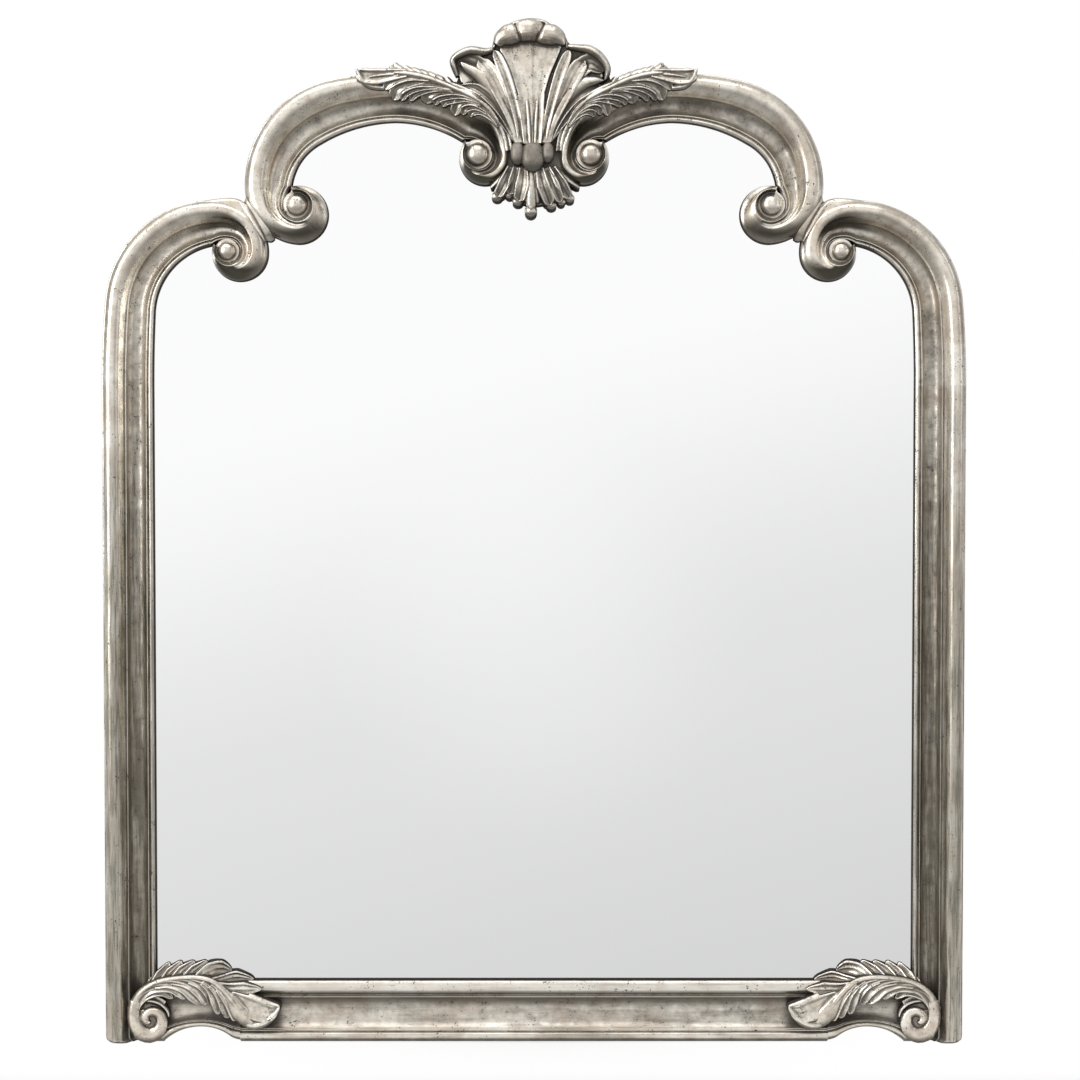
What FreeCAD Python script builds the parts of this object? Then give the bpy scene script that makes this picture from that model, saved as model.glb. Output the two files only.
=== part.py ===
import FreeCAD, Part
import math
import os
import re
import Sketcher
from FreeCAD import Placement, Rotation, Vector

# Overmantel mirror, seen from the front along +Y: +X right, +Z up. The back of the frame lies in the plane y = 0
# and the mouldings rise towards -Y. The origin is the middle of the bottom edge of that back plane.
# A height in a comment or a name below is a distance forwards of the back plane.

doc = FreeCAD.newDocument("overmantel_mirror")
sheet = doc.addObject("Spreadsheet::Sheet", "sizes")

SIZES = [
    # whole frame
    ("frame_width", 1070.0, "outside width over the stiles"),
    ("frame_height", 1270.0, "underside of the rail to the top of the shell"),
    ("member_width", 60.8, "face width of the stiles, shoulders and arches"),
    ("shoulder_base", 820.0, "height at which the shoulders stand on the stiles"),
    ("rail_height", 76.0, "height of the bottom rail"),
    ("corner_round", 9.0, "rounded foot of a stile"),
    # moulding of the frame, from the outer edge inwards: heights above the back plane
    ("side_height", 31.0, "outer side of the roll"),
    ("roll_crown", 42.7, "top of the outer roll"),
    ("roll_end", 38.0, "inner edge of the outer roll"),
    ("step_height", 28.0, "foot of the roll"),
    ("cove_height", 16.0, "bottom of the cove"),
    ("lip_height", 24.0, "arris between cove and lip"),
    ("lip_edge", 21.0, "lip at the glass"),
    # moulding of the rail
    ("rail_side", 22.0, "outer side of the roll under the rail"),
    ("rail_crown", 31.0, "top of that roll"),
    ("rail_roll_end", 29.0, "inner edge of that roll"),
    ("rail_step", 26.0, "foot of that roll"),
    # volutes
    ("volute_side", 16.0, "outer side of a volute"),
    ("volute_slope", 35.0, "middle of the slope up to the ridge"),
    ("volute_ridge", 41.0, "ridge of a volute"),
    ("volute_fall", 39.0, "inner side of the ridge"),
    ("volute_foot", 34.0, "foot of the ridge"),
    ("volute_groove", 33.0, "groove round the eye"),
    ("eye_ring", 14.8, "radius of the groove round an eye"),
    ("eye_dome", 12.5, "radius of the dome of an eye"),
    # rebate, glass and back
    ("rebate_depth", 12.0, "rebate, measured from the back plane"),
    ("rebate_lap", 9.0, "overlap of the lip over the glass"),
    ("glass_thick", 4.0, "mirror plate"),
    ("glass_gap", 1.0, "play of the plate in the rebate"),
    ("board_thick", 3.0, "hardboard behind the plate"),
    ("point_long", 14.0, "glazing point, half of it in the wood"),
    ("point_wide", 10.0, "glazing point"),
    ("point_thick", 1.0, "glazing point"),
    # arcs of the shoulder and the arch, and the eyes of their volutes
    ("shoulder_radius", 134.0, "outer edge of the shoulder"),
    ("shoulder_inner", 85.6, "inner edge of the shoulder"),
    ("shoulder_centre", 908.0, "height of the middle of the shoulder's arcs"),
    ("arch_radius", 134.0, "outer edge of the arch at its foot"),
    ("shoulder_eye_x", 380.7, "eye of the shoulder volute"),
    ("shoulder_eye_z", 985.3, "eye of the shoulder volute"),
    ("arch_eye_x", 293.9, "eye of the volute at the foot of the arch"),
    ("arch_eye_z", 1042.3, "eye of the volute at the foot of the arch"),
    ("crest_eye_x", 69.4, "eye of the volute beside the shell"),
    ("crest_eye_z", 1104.3, "eye of the volute beside the shell"),
    # crest
    ("block_front", 34.0, "front of the crest block"),
    ("shell_foot", 1121.0, "foot of the shell, at the collar"),
    ("lip_radius", 44.0, "rolled lip of the shell, to its outer edge"),
    ("leaf_bed", 30.0, "underside of the leaves on the arches"),
    ("collar_height", 1103.0, "middle of the beads under the shell"),
    # fixings
    ("tenon_thick", 8.0, "loose tenons"),
    ("tenon_back", 4.5, "back of the frame to the tenons"),
    ("hinge_x", 509.0, "middle of a hanger, from the centre line"),
    ("hinge_z", 790.0, "height of the hinge of a hanging ring"),
    ("hinge_y", 4.2, "hinge behind the back plane"),
    ("strap_width", 16.0, "steel strap"),
    ("strap_length", 58.0, "steel strap below its eye"),
    ("strap_thick", 1.5, "steel strap"),
    ("eye_width", 14.0, "rolled eye of the strap"),
    ("first_screw", 30.0, "upper screw of a strap, below the hinge"),
    ("second_screw", 47.0, "lower screw of a strap, below the hinge"),
    ("wire_radius", 2.0, "wire of the hanging ring"),
    ("wire_play", 0.08, "play of the wire in the eye, on the radius"),
    ("ring_half", 12.0, "middle of the ring's wire to the centre line of the ring"),
    ("ring_corner", 4.0, "bend of the wire beside the eye"),
    ("ring_drop", 9.0, "hinge to the middle of the ring's bow"),
    ("screw_radius", 2.0, "shank of a wood screw"),
    ("head_radius", 3.8, "head of a wood screw"),
    ("head_height", 2.0, "head of a wood screw"),
    ("hanger_screw", 20.0, "length of the screws in the hangers"),
    ("crest_screw", 46.0, "length of the screws in the crest"),
    ("bumper_radius", 11.0, "pad against the wall"),
    ("bumper_thick", 8.0, "pad against the wall"),
]
ALIASES = {row[0] for row in SIZES}


def fill_sheet():
    for row, (alias, value, note) in enumerate(SIZES, start=1):
        sheet.set("A%d" % row, note)
        sheet.set("B%d" % row, str(value))
        sheet.setAlias("B%d" % row, alias)
    doc.recompute()


def size(alias):
    return float(sheet.get(alias))


def value_of(expression):
    """What an expression of sheet names comes to."""
    return float(sheet.evalExpression(expression))


def bound(expression):
    """The same expression as another object writes it: each name with the sheet in front."""
    return re.sub(r"[a-z_]+", lambda word: "<<sizes>>." + word.group() if word.group() in ALIASES else word.group(), expression)


fill_sheet()


# Outlines: lists of (x, z) points that lie on arcs


def mix(a, b, share):
    return a + (b - a) * share


def arc_about(centre, radius, start, end, count):
    """Points on an arc about a centre, from one angle to another."""
    angles = [math.radians(mix(start, end, i / count)) for i in range(count + 1)]
    return [(centre[0] + radius * math.cos(a), centre[1] + radius * math.sin(a)) for a in angles]


def bend(start, end, turn, count):
    """Points on the arc between two points that turns by so many degrees."""
    chord = math.hypot(end[0] - start[0], end[1] - start[1])
    radius = chord / (2.0 * math.sin(math.radians(abs(turn)) / 2.0))
    side = 1.0 if turn > 0 else -1.0
    heading = math.atan2(end[1] - start[1], end[0] - start[0]) - math.radians(turn) / 2.0
    centre = (start[0] - side * radius * math.sin(heading), start[1] + side * radius * math.cos(heading))
    first = math.degrees(heading) - side * 90.0
    return arc_about(centre, radius, first, first + turn, count)


def chain(start, heading, arcs):
    """Points on arcs that follow each other smoothly: (radius, turn, steps)."""
    points = [start]
    for radius, turn, count in arcs:
        side = 1.0 if turn > 0 else -1.0
        angle = math.radians(heading)
        x, z = points[-1]
        centre = (x - side * radius * math.sin(angle), z + side * radius * math.cos(angle))
        points += arc_about(centre, radius, heading - side * 90.0, heading - side * 90.0 + turn, count)[1:]
        heading += turn
    return points


def joined(*runs):
    """One list from runs whose ends meet."""
    points = list(runs[0])
    for run in runs[1:]:
        points += run[1:]
    return points


def blend(first, *marks):
    """A value for each station: marks are (steps, value at their end)."""
    values = [first]
    for count, end in marks:
        begin = values[-1]
        values += [mix(begin, end, i / count) for i in range(1, count + 1)]
    return values


def on_both_sides(points):
    """Left-hand points and, in reverse order, their mirror images."""
    return points + [(-x, z) for x, z in reversed(points)]


# Solids with flat facets, from sections that stand square to the back plane


def facets(corners):
    """Flat faces for four corners: one if they lie in a plane, else two triangles, and fewer where corners meet."""
    kept = [p for p, q in zip(corners, corners[1:] + corners[:1], strict=True) if (p - q).Length > 1e-6]
    if len(kept) < 3:
        return []
    if len(kept) == 4:
        normal = (kept[1] - kept[0]).cross(kept[2] - kept[0])
        if normal.Length > 1e-9 and abs((kept[3] - kept[0]).dot(normal)) / normal.Length > 1e-7:
            halves = (kept[:3], [kept[0], kept[2], kept[3]])
            return [Part.Face(Part.makePolygon(half + half[:1])) for half in halves]
    return [Part.Face(Part.makePolygon(kept + kept[:1]))]


def faceted_loft(sections):
    """Solid through flat sections that have the same number of corners."""
    faces = [Part.Face(Part.makePolygon(ring + ring[:1])) for ring in (sections[0], sections[-1])]
    for near, far in zip(sections, sections[1:], strict=False):
        for i in range(len(near)):
            k = (i + 1) % len(near)
            faces += facets([near[i], near[k], far[k], far[i]])
    shell = Part.makeShell(faces)
    shell.sewShape()
    solid = Part.makeSolid(shell)
    if solid.Volume < 0:
        solid.reverse()
    return solid


def fused(solids):
    whole = solids[0].fuse(solids[1:])
    return whole.Solids[0] if len(whole.Solids) == 1 else whole


# Mouldings: a profile of a roll, a cove and a lip, lofted between an outer and an inner edge

FRAME_PROFILE = {  # share of the width, height
    "side": (0.0, "side_height"),
    "crown": (0.19, "roll_crown"),
    "roll_end": (0.345, "roll_end"),
    "step": (0.44, "step_height"),
    "cove": (0.66, "cove_height"),
    "lip": (0.885, "lip_height"),
    "edge": (1.0, "lip_edge"),
}
VOLUTE_PROFILE = {
    "side": (0.0, "volute_side"),
    "crown": (0.32, "volute_slope"),
    "roll_end": (0.70, "volute_ridge"),
    "step": (0.80, "volute_fall"),
    "cove": (0.90, "volute_foot"),
    "lip": (0.96, "volute_groove"),
    "edge": (1.0, "volute_groove"),
}
RAIL_PROFILE = {
    "side": (0.0, "rail_side"),
    "crown": (0.08, "rail_crown"),
    "roll_end": (0.17, "rail_roll_end"),
    "step": (0.225, "rail_step"),
    "cove": (0.46, "cove_height"),
    "lip": (0.74, "lip_height"),
    "edge": (1.0, "lip_edge"),
}
ROLL_STEPS = 4
COVE_STEPS = 3


def point_at(outer, inner, share, height):
    return Vector(mix(outer[0], inner[0], share), -height, mix(outer[1], inner[1], share))


def arc_through(start, middle, end, steps):
    """Points after the first on the arc through three places."""
    curve = Part.Arc(start, middle, end)
    first, last = curve.FirstParameter, curve.LastParameter
    points = [curve.value(mix(first, last, i / steps)) for i in range(steps + 1)]
    return points[1:] if (points[-1] - end).Length < 0.001 else points[-2::-1]


def moulding_section(outer, inner, profile, other, share):
    """Corners of a closed section, from the outer side over the roll, cove and lip to the back."""
    at = {}
    for name in profile:
        u, height = profile[name]
        other_u, other_height = other[name]
        at[name] = point_at(outer, inner, mix(u, other_u, share), mix(size(height), size(other_height), share))
    roll = arc_through(at["side"], at["crown"], at["roll_end"], ROLL_STEPS)
    cove = arc_through(at["step"], at["cove"], at["lip"], COVE_STEPS)
    back = [point_at(outer, inner, 1.0, 0.0), point_at(outer, inner, 0.0, 0.0)]
    return [at["side"]] + roll + [at["step"]] + cove + [at["edge"]] + back


def moulding(outer, inner, profile, other=None, shares=None):
    """Solid moulding between two edges with the same number of stations, changing by shares to another profile."""
    shares = shares or [0.0] * len(outer)
    stations = zip(outer, inner, shares, strict=True)
    return faceted_loft([moulding_section(p, q, profile, other or profile, share) for p, q, share in stations])


def moulding_runs(outer, inner, shares, cuts):
    """The frame's moulding in runs that are fused, so that a volute may wind round into its own beginning."""
    ends = [0] + list(cuts) + [len(outer) - 1]
    return [
        moulding(outer[a : b + 1], inner[a : b + 1], FRAME_PROFILE, VOLUTE_PROFILE, shares[a : b + 1])
        for a, b in zip(ends, ends[1:], strict=False)
    ]


def rings_about(centre, levels, sides):
    """Solid of level rings about an axis that points forwards: levels are (radius, height)."""
    sections = []
    for radius, height in levels:
        points = arc_about(centre, radius, 0.0, 360.0, sides)[:-1]
        sections.append([Vector(x, -height, z) for x, z in points])
    return faceted_loft(sections)


def eye(centre):
    """The boss in the middle of a volute: a round post with a dome."""
    groove, ring, dome = size("volute_groove"), size("eye_ring"), size("eye_dome")
    levels = [(ring + 5.0, 0.0), (ring + 5.0, groove), (dome, groove)]
    for angle in (30.0, 60.0, 82.0):
        levels.append((dome * math.cos(math.radians(angle)), groove + dome * math.sin(math.radians(angle))))
    return rings_about(centre, levels, 10)


def block(outline, back, front):
    """Flat-faced solid on an outline, between two heights."""
    corners = [Vector(x, -back, z) for x, z in outline]
    return Part.Face(Part.makePolygon(corners + corners[:1])).extrude(Vector(0, back - front, 0))


def shoulder_shape():
    """Left shoulder: it leaves the stile, bends over and winds into its volute."""
    half = size("frame_width") / 2.0
    base = size("shoulder_base")
    eye_at = (-size("shoulder_eye_x"), size("shoulder_eye_z"))
    ring = size("eye_ring")
    outer = chain(
        (-half, base),
        90.0,
        [(1163.0, -5.2, 1), (size("shoulder_radius"), -84.8, 6), (68.0, -38.0, 2), (68.0, -55.0, 3), (37.0, -196.0, 8)],
    )
    lip = chain((-half + size("member_width"), base), 90.0, [(1818.0, -2.9, 1), (size("shoulder_inner"), -77.2, 6)])
    over_eye = bend(lip[-1], (eye_at[0], eye_at[1] + ring), -42.0, 2)
    inner = joined(lip, over_eye, arc_about(eye_at, ring, 90.0, -202.0, 11))
    shares = blend(0.0, (7, 0.0), (2, 0.4), (3, 0.85), (8, 1.0))
    runs = moulding_runs(outer, inner, shares, [10])
    web = [(-361.0, 1045.0), (-352.0, 1046.0), (-330.0, 1024.0), (-322.0, 1006.0), (-328.0, 994.0), (-345.0, 1000.0)]
    return fused(runs + [eye(eye_at), block(web, 0.0, size("lip_height"))])


def arch_shape():
    """Left arch: a volute at its foot, the arch itself, and a volute beside the shell."""
    foot_eye = (-size("arch_eye_x"), size("arch_eye_z"))
    crest_eye = (-size("crest_eye_x"), size("crest_eye_z"))
    ring = size("eye_ring")
    outer = chain(
        (-301.2, 1064.6),
        15.0,
        [
            (37.8, -200.0, 8),
            (71.0, -50.0, 2),
            (71.0, -35.0, 2),
            (size("arch_radius"), -79.0, 5),
            (440.0, -11.0, 1),
            (160.0, -40.0, 3),
            (89.5, -25.0, 2),
            (89.5, -25.0, 2),
            (32.2, -150.0, 7),
            (37.7, -68.0, 3),
        ],
    )
    foot_notch, haunch, crown, crest_notch = (-300.8, 1064.8), (-264.1, 1119.2), (-171.1, 1144.5), (-89.3, 1120.7)
    inner = joined(
        arc_about(foot_eye, ring, 108.0, -185.0, 10),
        bend((foot_eye[0] - ring, foot_eye[1] + 1.3), foot_notch, -30.0, 2),
        bend(foot_notch, haunch, -55.0, 4),
        bend(haunch, crown, -30.0, 2),
        bend(crown, crest_notch, -31.3, 3),
        bend(crest_notch, (crest_eye[0], crest_eye[1] + ring), -40.0, 2),
        arc_about(crest_eye, ring, 90.0, -219.0, 12),
    )
    shares = blend(1.0, (8, 1.0), (2, 0.6), (2, 0.0), (6, 0.0), (3, 0.0), (2, 0.4), (2, 0.85), (10, 1.0))
    foot_web = [(-308.0, 1072.0), (-295.0, 1068.0), (-296.0, 1055.0), (-310.0, 1054.0)]
    crest_web = [(-102.0, 1124.0), (-87.0, 1127.0), (-78.0, 1116.0), (-92.0, 1106.0)]
    webs = [block(web, 0.0, size("lip_height")) for web in (foot_web, crest_web)]
    return fused(moulding_runs(outer, inner, shares, [10, 25]) + [eye(foot_eye), eye(crest_eye)] + webs)


def rail_shape():
    """Bottom rail: its underside rises over a shaped cut-out near each end and the roll follows it."""
    half = size("frame_width") / 2.0 - size("member_width")
    rise = chain((-463.0, 1.0), 42.0, [(70.0, -42.0, 3), (58.0, -38.0, 3), (22.0, 38.0, 2)])
    under = [(-half, 0.0)] + rise[:-1] + [(rise[-1][0], 0.0), (0.0, 0.0)]
    top = [(x, size("rail_height")) for x, z in under]
    left = moulding(under, top, RAIL_PROFILE)
    return fused([left, left.mirror(Vector(0, 0, 0), Vector(1, 0, 0))]).removeSplitter()


# Glass and its rebate


def glass_outline(play):
    """The plate's outline, or the rebate's with the play added: straight sides, shoulders, steps and arches."""
    lap = size("rebate_lap") - size("glass_gap") + play
    side = size("frame_width") / 2.0 - size("member_width") + lap
    foot = size("rail_height") - lap
    shoulder = size("shoulder_inner") + lap
    centre = (-side + shoulder, size("shoulder_centre"))
    step_x, step_z = -301.0 - lap, centre[1] + shoulder
    fillet = 10.0 - play
    corner = (step_x - fillet, step_z + fillet)
    haunch, crown = (-264.1 - 0.8 * lap, 1119.2 + 0.6 * lap), (-171.1, 1144.5 + lap)
    left = joined(
        [(-side, foot), (-side, centre[1])],
        arc_about(centre, shoulder, 180.0, 90.0, 6),
        [(centre[0], step_z), (corner[0], step_z)],
        arc_about(corner, fillet, -90.0, 0.0, 2),
        [(step_x, corner[1]), (step_x, 1066.0)],
        bend((step_x, 1066.0), haunch, -55.0, 4),
        bend(haunch, crown, -30.0, 3),
    )
    return on_both_sides(left)


# Carving: strokes of the gouge, each a ridged loft along an arc


def between(values, share):
    """Value at a share of the way through first, middle and last."""
    first, middle, last = values
    return mix(first, middle, share * 2.0) if share < 0.5 else mix(middle, last, share * 2.0 - 1.0)


def stroke(start, end, turn, widths, crests, base, steps=2):
    """Ridged blade along an arc that turns by so many degrees."""
    return blade(bend(start, end, turn, steps) if turn else [start, end], widths, crests, base)


def blade(path, widths, crests, base):
    """Ridged blade along a path: half widths and crest heights at its start, middle and end, over a flat base."""
    sections = []
    for i, (x, z) in enumerate(path):
        before, after = path[max(i - 1, 0)], path[min(i + 1, len(path) - 1)]
        heading = math.atan2(after[1] - before[1], after[0] - before[0])
        across = (-math.sin(heading), math.cos(heading))
        half, crest = between(widths, i / (len(path) - 1)), between(crests, i / (len(path) - 1))
        slope = max(crest - 0.8 * half, base + 1.0)
        section = [(-half, base), (-half, slope), (0.0, crest), (half, slope), (half, base)]
        sections.append([Vector(x + across[0] * u, -height, z + across[1] * u) for u, height in section])
    return faceted_loft(sections)


def leaflets(ends, turn, widths, crests, base):
    return [stroke(root, tip, turn, widths, crests, base) for root, tip in ends]


def acanthus_shape():
    """Leaf on the left arch: a midrib from the volute to a cupped tip, with leaflets on both sides."""
    base = size("leaf_bed")
    midrib = stroke((-40, 1138), (-204, 1198), 62.0, (5.0, 14.0, 12.0), (46.0, 55.0, 50.0), base, 5)
    bed = [(-58, 1162), (-95, 1190), (-130, 1202), (-168, 1208), (-168, 1180), (-130, 1170), (-100, 1160), (-70, 1148)]
    cup = stroke((-211, 1212), (-180, 1187), 80.0, (3.0, 4.0, 3.0), (54.0, 58.0, 52.0), base, 4)
    upper = [((-138, 1196), (-172, 1213)), ((-116, 1192), (-150, 1210)), ((-95, 1185), (-125, 1203))]
    lower = [
        ((-138, 1194), (-173, 1170)),
        ((-117, 1189), (-150, 1166)),
        ((-98, 1181), (-124, 1158)),
        ((-78, 1173), (-103, 1154)),
        ((-60, 1160), (-82, 1147)),
    ]
    strokes = [midrib, cup, block(bed, base, base + 12.0)]
    strokes += leaflets(upper, 25.0, (7.0, 7.0, 2.5), (50.0, 48.0, 43.0), base)
    strokes += leaflets(lower, 35.0, (8.0, 8.5, 3.0), (51.0, 50.0, 44.0), base)
    return fused(strokes)


def corner_leaf_shape():
    """Leaf on the left end of the rail: it rises from the corner scroll and turns down to a cupped tip."""
    base = size("cove_height")
    midrib = joined(bend((-490, 56), (-412, 82), -62.0, 3), bend((-412, 82), (-356, 30), -48.0, 3))
    upper_bed = [(-484, 72), (-460, 88), (-434, 93), (-405, 93), (-384, 86), (-360, 74), (-372, 60), (-412, 74)]
    lower_bed = [(-484, 60), (-412, 80), (-368, 34), (-384, 40), (-405, 56), (-430, 64), (-455, 66), (-474, 58)]
    strokes = [
        blade(midrib, (6.0, 11.0, 11.0), (44.0, 52.0, 48.0), base),
        stroke((-372, 42), (-318, 47), 80.0, (11.0, 15.0, 3.0), (44.0, 50.0, 44.0), base, 4),
        block(upper_bed, base, 34.0),
        block(lower_bed, base, 34.0),
    ]
    upper = [
        ((-470, 70), (-452, 92)),
        ((-452, 77), (-432, 98)),
        ((-434, 80), (-410, 98)),
        ((-420, 82), (-380, 90)),
        ((-400, 76), (-340, 72)),
    ]
    lower = [
        ((-466, 74), (-447, 57)),
        ((-446, 78), (-428, 55)),
        ((-430, 80), (-410, 49)),
        ((-412, 78), (-392, 37)),
        ((-396, 68), (-374, 29)),
    ]
    strokes += leaflets(upper, -25.0, (8.0, 9.0, 3.0), (47.0, 42.0, 34.0), base)
    strokes += leaflets(lower, -30.0, (8.0, 8.5, 3.0), (47.0, 43.0, 33.0), base)
    return fused(strokes)


def corner_scroll_shape():
    """Volute over the left corner joint: one turn that winds inwards from the foot of the leaf, and a stem."""
    centre, ring, count = (-477.5, 25.5), 7.0, 12
    turns = [math.radians(mix(140.0, 500.0, i / count)) for i in range(count + 1)]
    radii = blend(27.0, (4, 24.0), (4, 22.5), (4, 13.0))
    outer = [(centre[0] + r * math.cos(a), centre[1] + r * math.sin(a)) for r, a in zip(radii, turns, strict=True)]
    inner = [(centre[0] + ring * math.cos(a), centre[1] + ring * math.sin(a)) for a in turns]
    half = count // 2
    runs = [moulding(outer[: half + 1], inner[: half + 1], VOLUTE_PROFILE), moulding(outer[half:], inner[half:], VOLUTE_PROFILE)]
    button = rings_about(centre, [(ring + 2.0, 16.0), (ring + 2.0, 34.0), (ring, 36.0), (3.0, 42.0)], 10)
    stem = stroke((-497, 20), (-476, 70), -50.0, (7.0, 8.0, 6.0), (38.0, 42.0, 44.0), size("volute_side"), 3)
    behind = block([(-520.0, -5.0), (-440.0, -5.0), (-440.0, 90.0), (-520.0, 90.0)], -1.0, size("volute_side"))
    return fused(runs + [button, stem]).cut(behind)


def rolled_lip(path, middle, lobes, reach):
    """Lip that rolls over towards the front along a path, swelling once for each lobe."""
    sections = []
    for i, (x, z) in enumerate(path):
        swell = 0.62 + 0.38 * abs(math.sin(math.pi * lobes * i / (len(path) - 1)))
        inward = math.atan2(middle[1] - z, middle[0] - x)
        along = (math.cos(inward), math.sin(inward))
        front = 56.0 + 17.0 * swell
        section = [(0.0, 34.0), (0.0, 54.0), (reach * 0.3, front - 2.0), (reach * 0.8 * swell, front)]
        section += [(reach * swell, front - 9.0), (reach * 0.6, 52.0), (reach * 0.9, 34.0)]
        sections.append([Vector(x + along[0] * u, -height, z + along[1] * u) for u, height in section])
    return faceted_loft(sections)


def shell_shape():
    """Fluted shell: blades that fan out from the collar, a lip of three lobes over them and a curl on either side."""
    foot, bed = size("shell_foot"), size("block_front")
    centre = (-2.0, size("frame_height") - size("lip_radius"))
    blades = [  # foot x, tip, turn, half widths, crest heights
        (-2, (-2, 1254), 0.0, (4.0, 9.0, 13.0), (48.0, 53.0, 56.0)),
        (-13, (-26, 1246), 8.0, (4.0, 9.0, 13.0), (46.0, 52.0, 56.0)),
        (9, (22, 1246), -8.0, (4.0, 9.0, 13.0), (46.0, 52.0, 56.0)),
        (-17, (-54, 1225), 14.0, (3.0, 8.0, 12.0), (45.0, 52.0, 58.0)),
        (13, (49, 1227), -14.0, (3.0, 8.0, 12.0), (45.0, 52.0, 58.0)),
        (-21, (-88, 1212), 30.0, (3.0, 9.0, 13.0), (44.0, 50.0, 58.0)),
        (17, (84, 1210), -30.0, (3.0, 9.0, 13.0), (44.0, 50.0, 58.0)),
        (-24, (-93, 1199), 24.0, (3.0, 7.0, 5.0), (42.0, 47.0, 46.0)),
        (20, (89, 1197), -24.0, (3.0, 7.0, 5.0), (42.0, 47.0, 46.0)),
    ]
    strokes = [stroke((x, foot), tip, turn, widths, crests, bed) for x, tip, turn, widths, crests in blades]
    lip = arc_about(centre, size("lip_radius"), 180.0, 0.0, 12)
    left_curl = bend((-101, 1208), (-48, 1229), -80.0, 4)
    right_curl = bend((44, 1231), (96, 1205), -80.0, 4)
    strokes += [
        block(lip, bed, 50.0),
        rolled_lip(lip, centre, 3, 22.0),
        rolled_lip(left_curl, (-68, 1205), 1, 14.0),
        rolled_lip(right_curl, (64, 1204), 1, 14.0),
    ]
    return fused(strokes)


def collar_shape():
    """Three barrel beads, side by side."""
    sides, middle, depth = 8, size("collar_height"), size("block_front") + 4.0
    barrel = ((-16.0, 0.4), (-12.0, 0.8), (-5.0, 1.0), (5.0, 1.0), (12.0, 0.8), (16.0, 0.4))
    beads = []
    for x, radius in ((-18.0, 8.5), (0.0, 12.0), (17.5, 8.5)):
        sections = []
        for rise, share in barrel:
            points = arc_about((x, -depth), share * radius, 22.5, 382.5, sides)[:-1]
            sections.append([Vector(px, py, middle + rise) for px, py in points])
        beads.append(faceted_loft(sections))
    return fused(beads)


def pendant_shape():
    """Small palmette under the collar: seven petals in a fan."""
    petals = [
        ((-16, 1086), (-49, 1056), -20.0),
        ((-14, 1084), (-38, 1046), -14.0),
        ((-8, 1085), (-20, 1038), -8.0),
        ((-1, 1090), (-1, 1029), 0.0),
        ((6, 1085), (19, 1037), 8.0),
        ((11, 1084), (36, 1043), 14.0),
        ((14, 1086), (49, 1054), 20.0),
    ]
    bed = size("rebate_depth") + 2.0
    return fused([stroke(a, b, turn, (8.0, 10.0, 5.0), (42.0, 43.0, 32.0), bed) for a, b, turn in petals])


def ring_shape():
    """Hanging ring about its hinge: a round bar for the eye of the strap, and a bow of round wire."""
    wire, half, corner, sides = size("wire_radius"), size("ring_half"), size("ring_corner"), 10
    right = chain((half - corner, 0.0), 0.0, [(corner, -90.0, 3)]) + arc_about((0.0, -size("ring_drop")), half, 0.0, -90.0, 4)
    path = right + [(-x, z) for x, z in reversed(right[:-1])]
    sections = []
    for i, (x, z) in enumerate(path):
        before, after = path[max(i - 1, 0)], path[min(i + 1, len(path) - 1)]
        heading = math.atan2(after[1] - before[1], after[0] - before[0]) if 0 < i < len(path) - 1 else 0.0
        across = (-math.sin(heading), math.cos(heading))
        round_wire = arc_about((0.0, 0.0), wire, 0.0, 360.0, sides)[:-1]
        sections.append([Vector(x + across[0] * u, height, z + across[1] * u) for u, height in round_wire])
    bar = Part.makeCylinder(wire, 2.0 * (half - corner), Vector(corner - half, 0, 0), Vector(1, 0, 0))
    return faceted_loft(sections).fuse(bar)


# Bodies with sketches


def new_body(name):
    body = doc.addObject("PartDesign::Body", name)
    body.Label = name
    return body


def new_sketch(body, name, role):
    sketch = body.newObject("Sketcher::SketchObject", name)
    plane = next(plane for plane in body.Origin.OriginFeatures if plane.Role == role)
    sketch.AttachmentSupport = [(plane, "")]
    sketch.MapMode = "FlatFace"
    return sketch


def pin(sketch, index, position, x, y):
    """Holds a point of a sketch by its distances from the origin."""
    for kind, expression in (("DistanceX", x), ("DistanceY", y)):
        number = sketch.addConstraint(Sketcher.Constraint(kind, -1, 1, index, position, value_of(expression)))
        sketch.setExpression("Constraints[%d]" % number, bound(expression))


def far_end(sketch, index, corner):
    """Which end of a curve, 1 or 2, lies at its corner: an arc runs anticlockwise however it was drawn."""
    at = Vector(value_of(corner[0]), value_of(corner[1]), 0)
    return 2 if (sketch.getPoint(index, 2) - at).Length < (sketch.getPoint(index, 1) - at).Length else 1


def outline(sketch, corners):
    """Closed outline: each corner is (x, y), or (x, y, x and y of a point on the arc that leads to it)."""
    count = len(corners)
    for i in range(count):
        start, end = (Vector(value_of(c[0]), value_of(c[1]), 0) for c in (corners[i - 1], corners[i]))
        if len(corners[i]) == 4:
            middle = Vector(value_of(corners[i][2]), value_of(corners[i][3]), 0)
            sketch.addGeometry(Part.Arc(start, middle, end), False)
        else:
            sketch.addGeometry(Part.LineSegment(start, end), False)
    ends = [far_end(sketch, i, corners[i]) for i in range(count)]
    for i in range(count):
        following = (i + 1) % count
        sketch.addConstraint(Sketcher.Constraint("Coincident", i, ends[i], following, 3 - ends[following]))
        pin(sketch, i, ends[i], corners[i][0], corners[i][1])
        if len(corners[i]) == 4:
            mark = sketch.addGeometry(Part.Point(Vector(value_of(corners[i][2]), value_of(corners[i][3]), 0)), True)
            pin(sketch, mark, 1, corners[i][2], corners[i][3])
            sketch.addConstraint(Sketcher.Constraint("PointOnObject", mark, 1, i))


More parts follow.
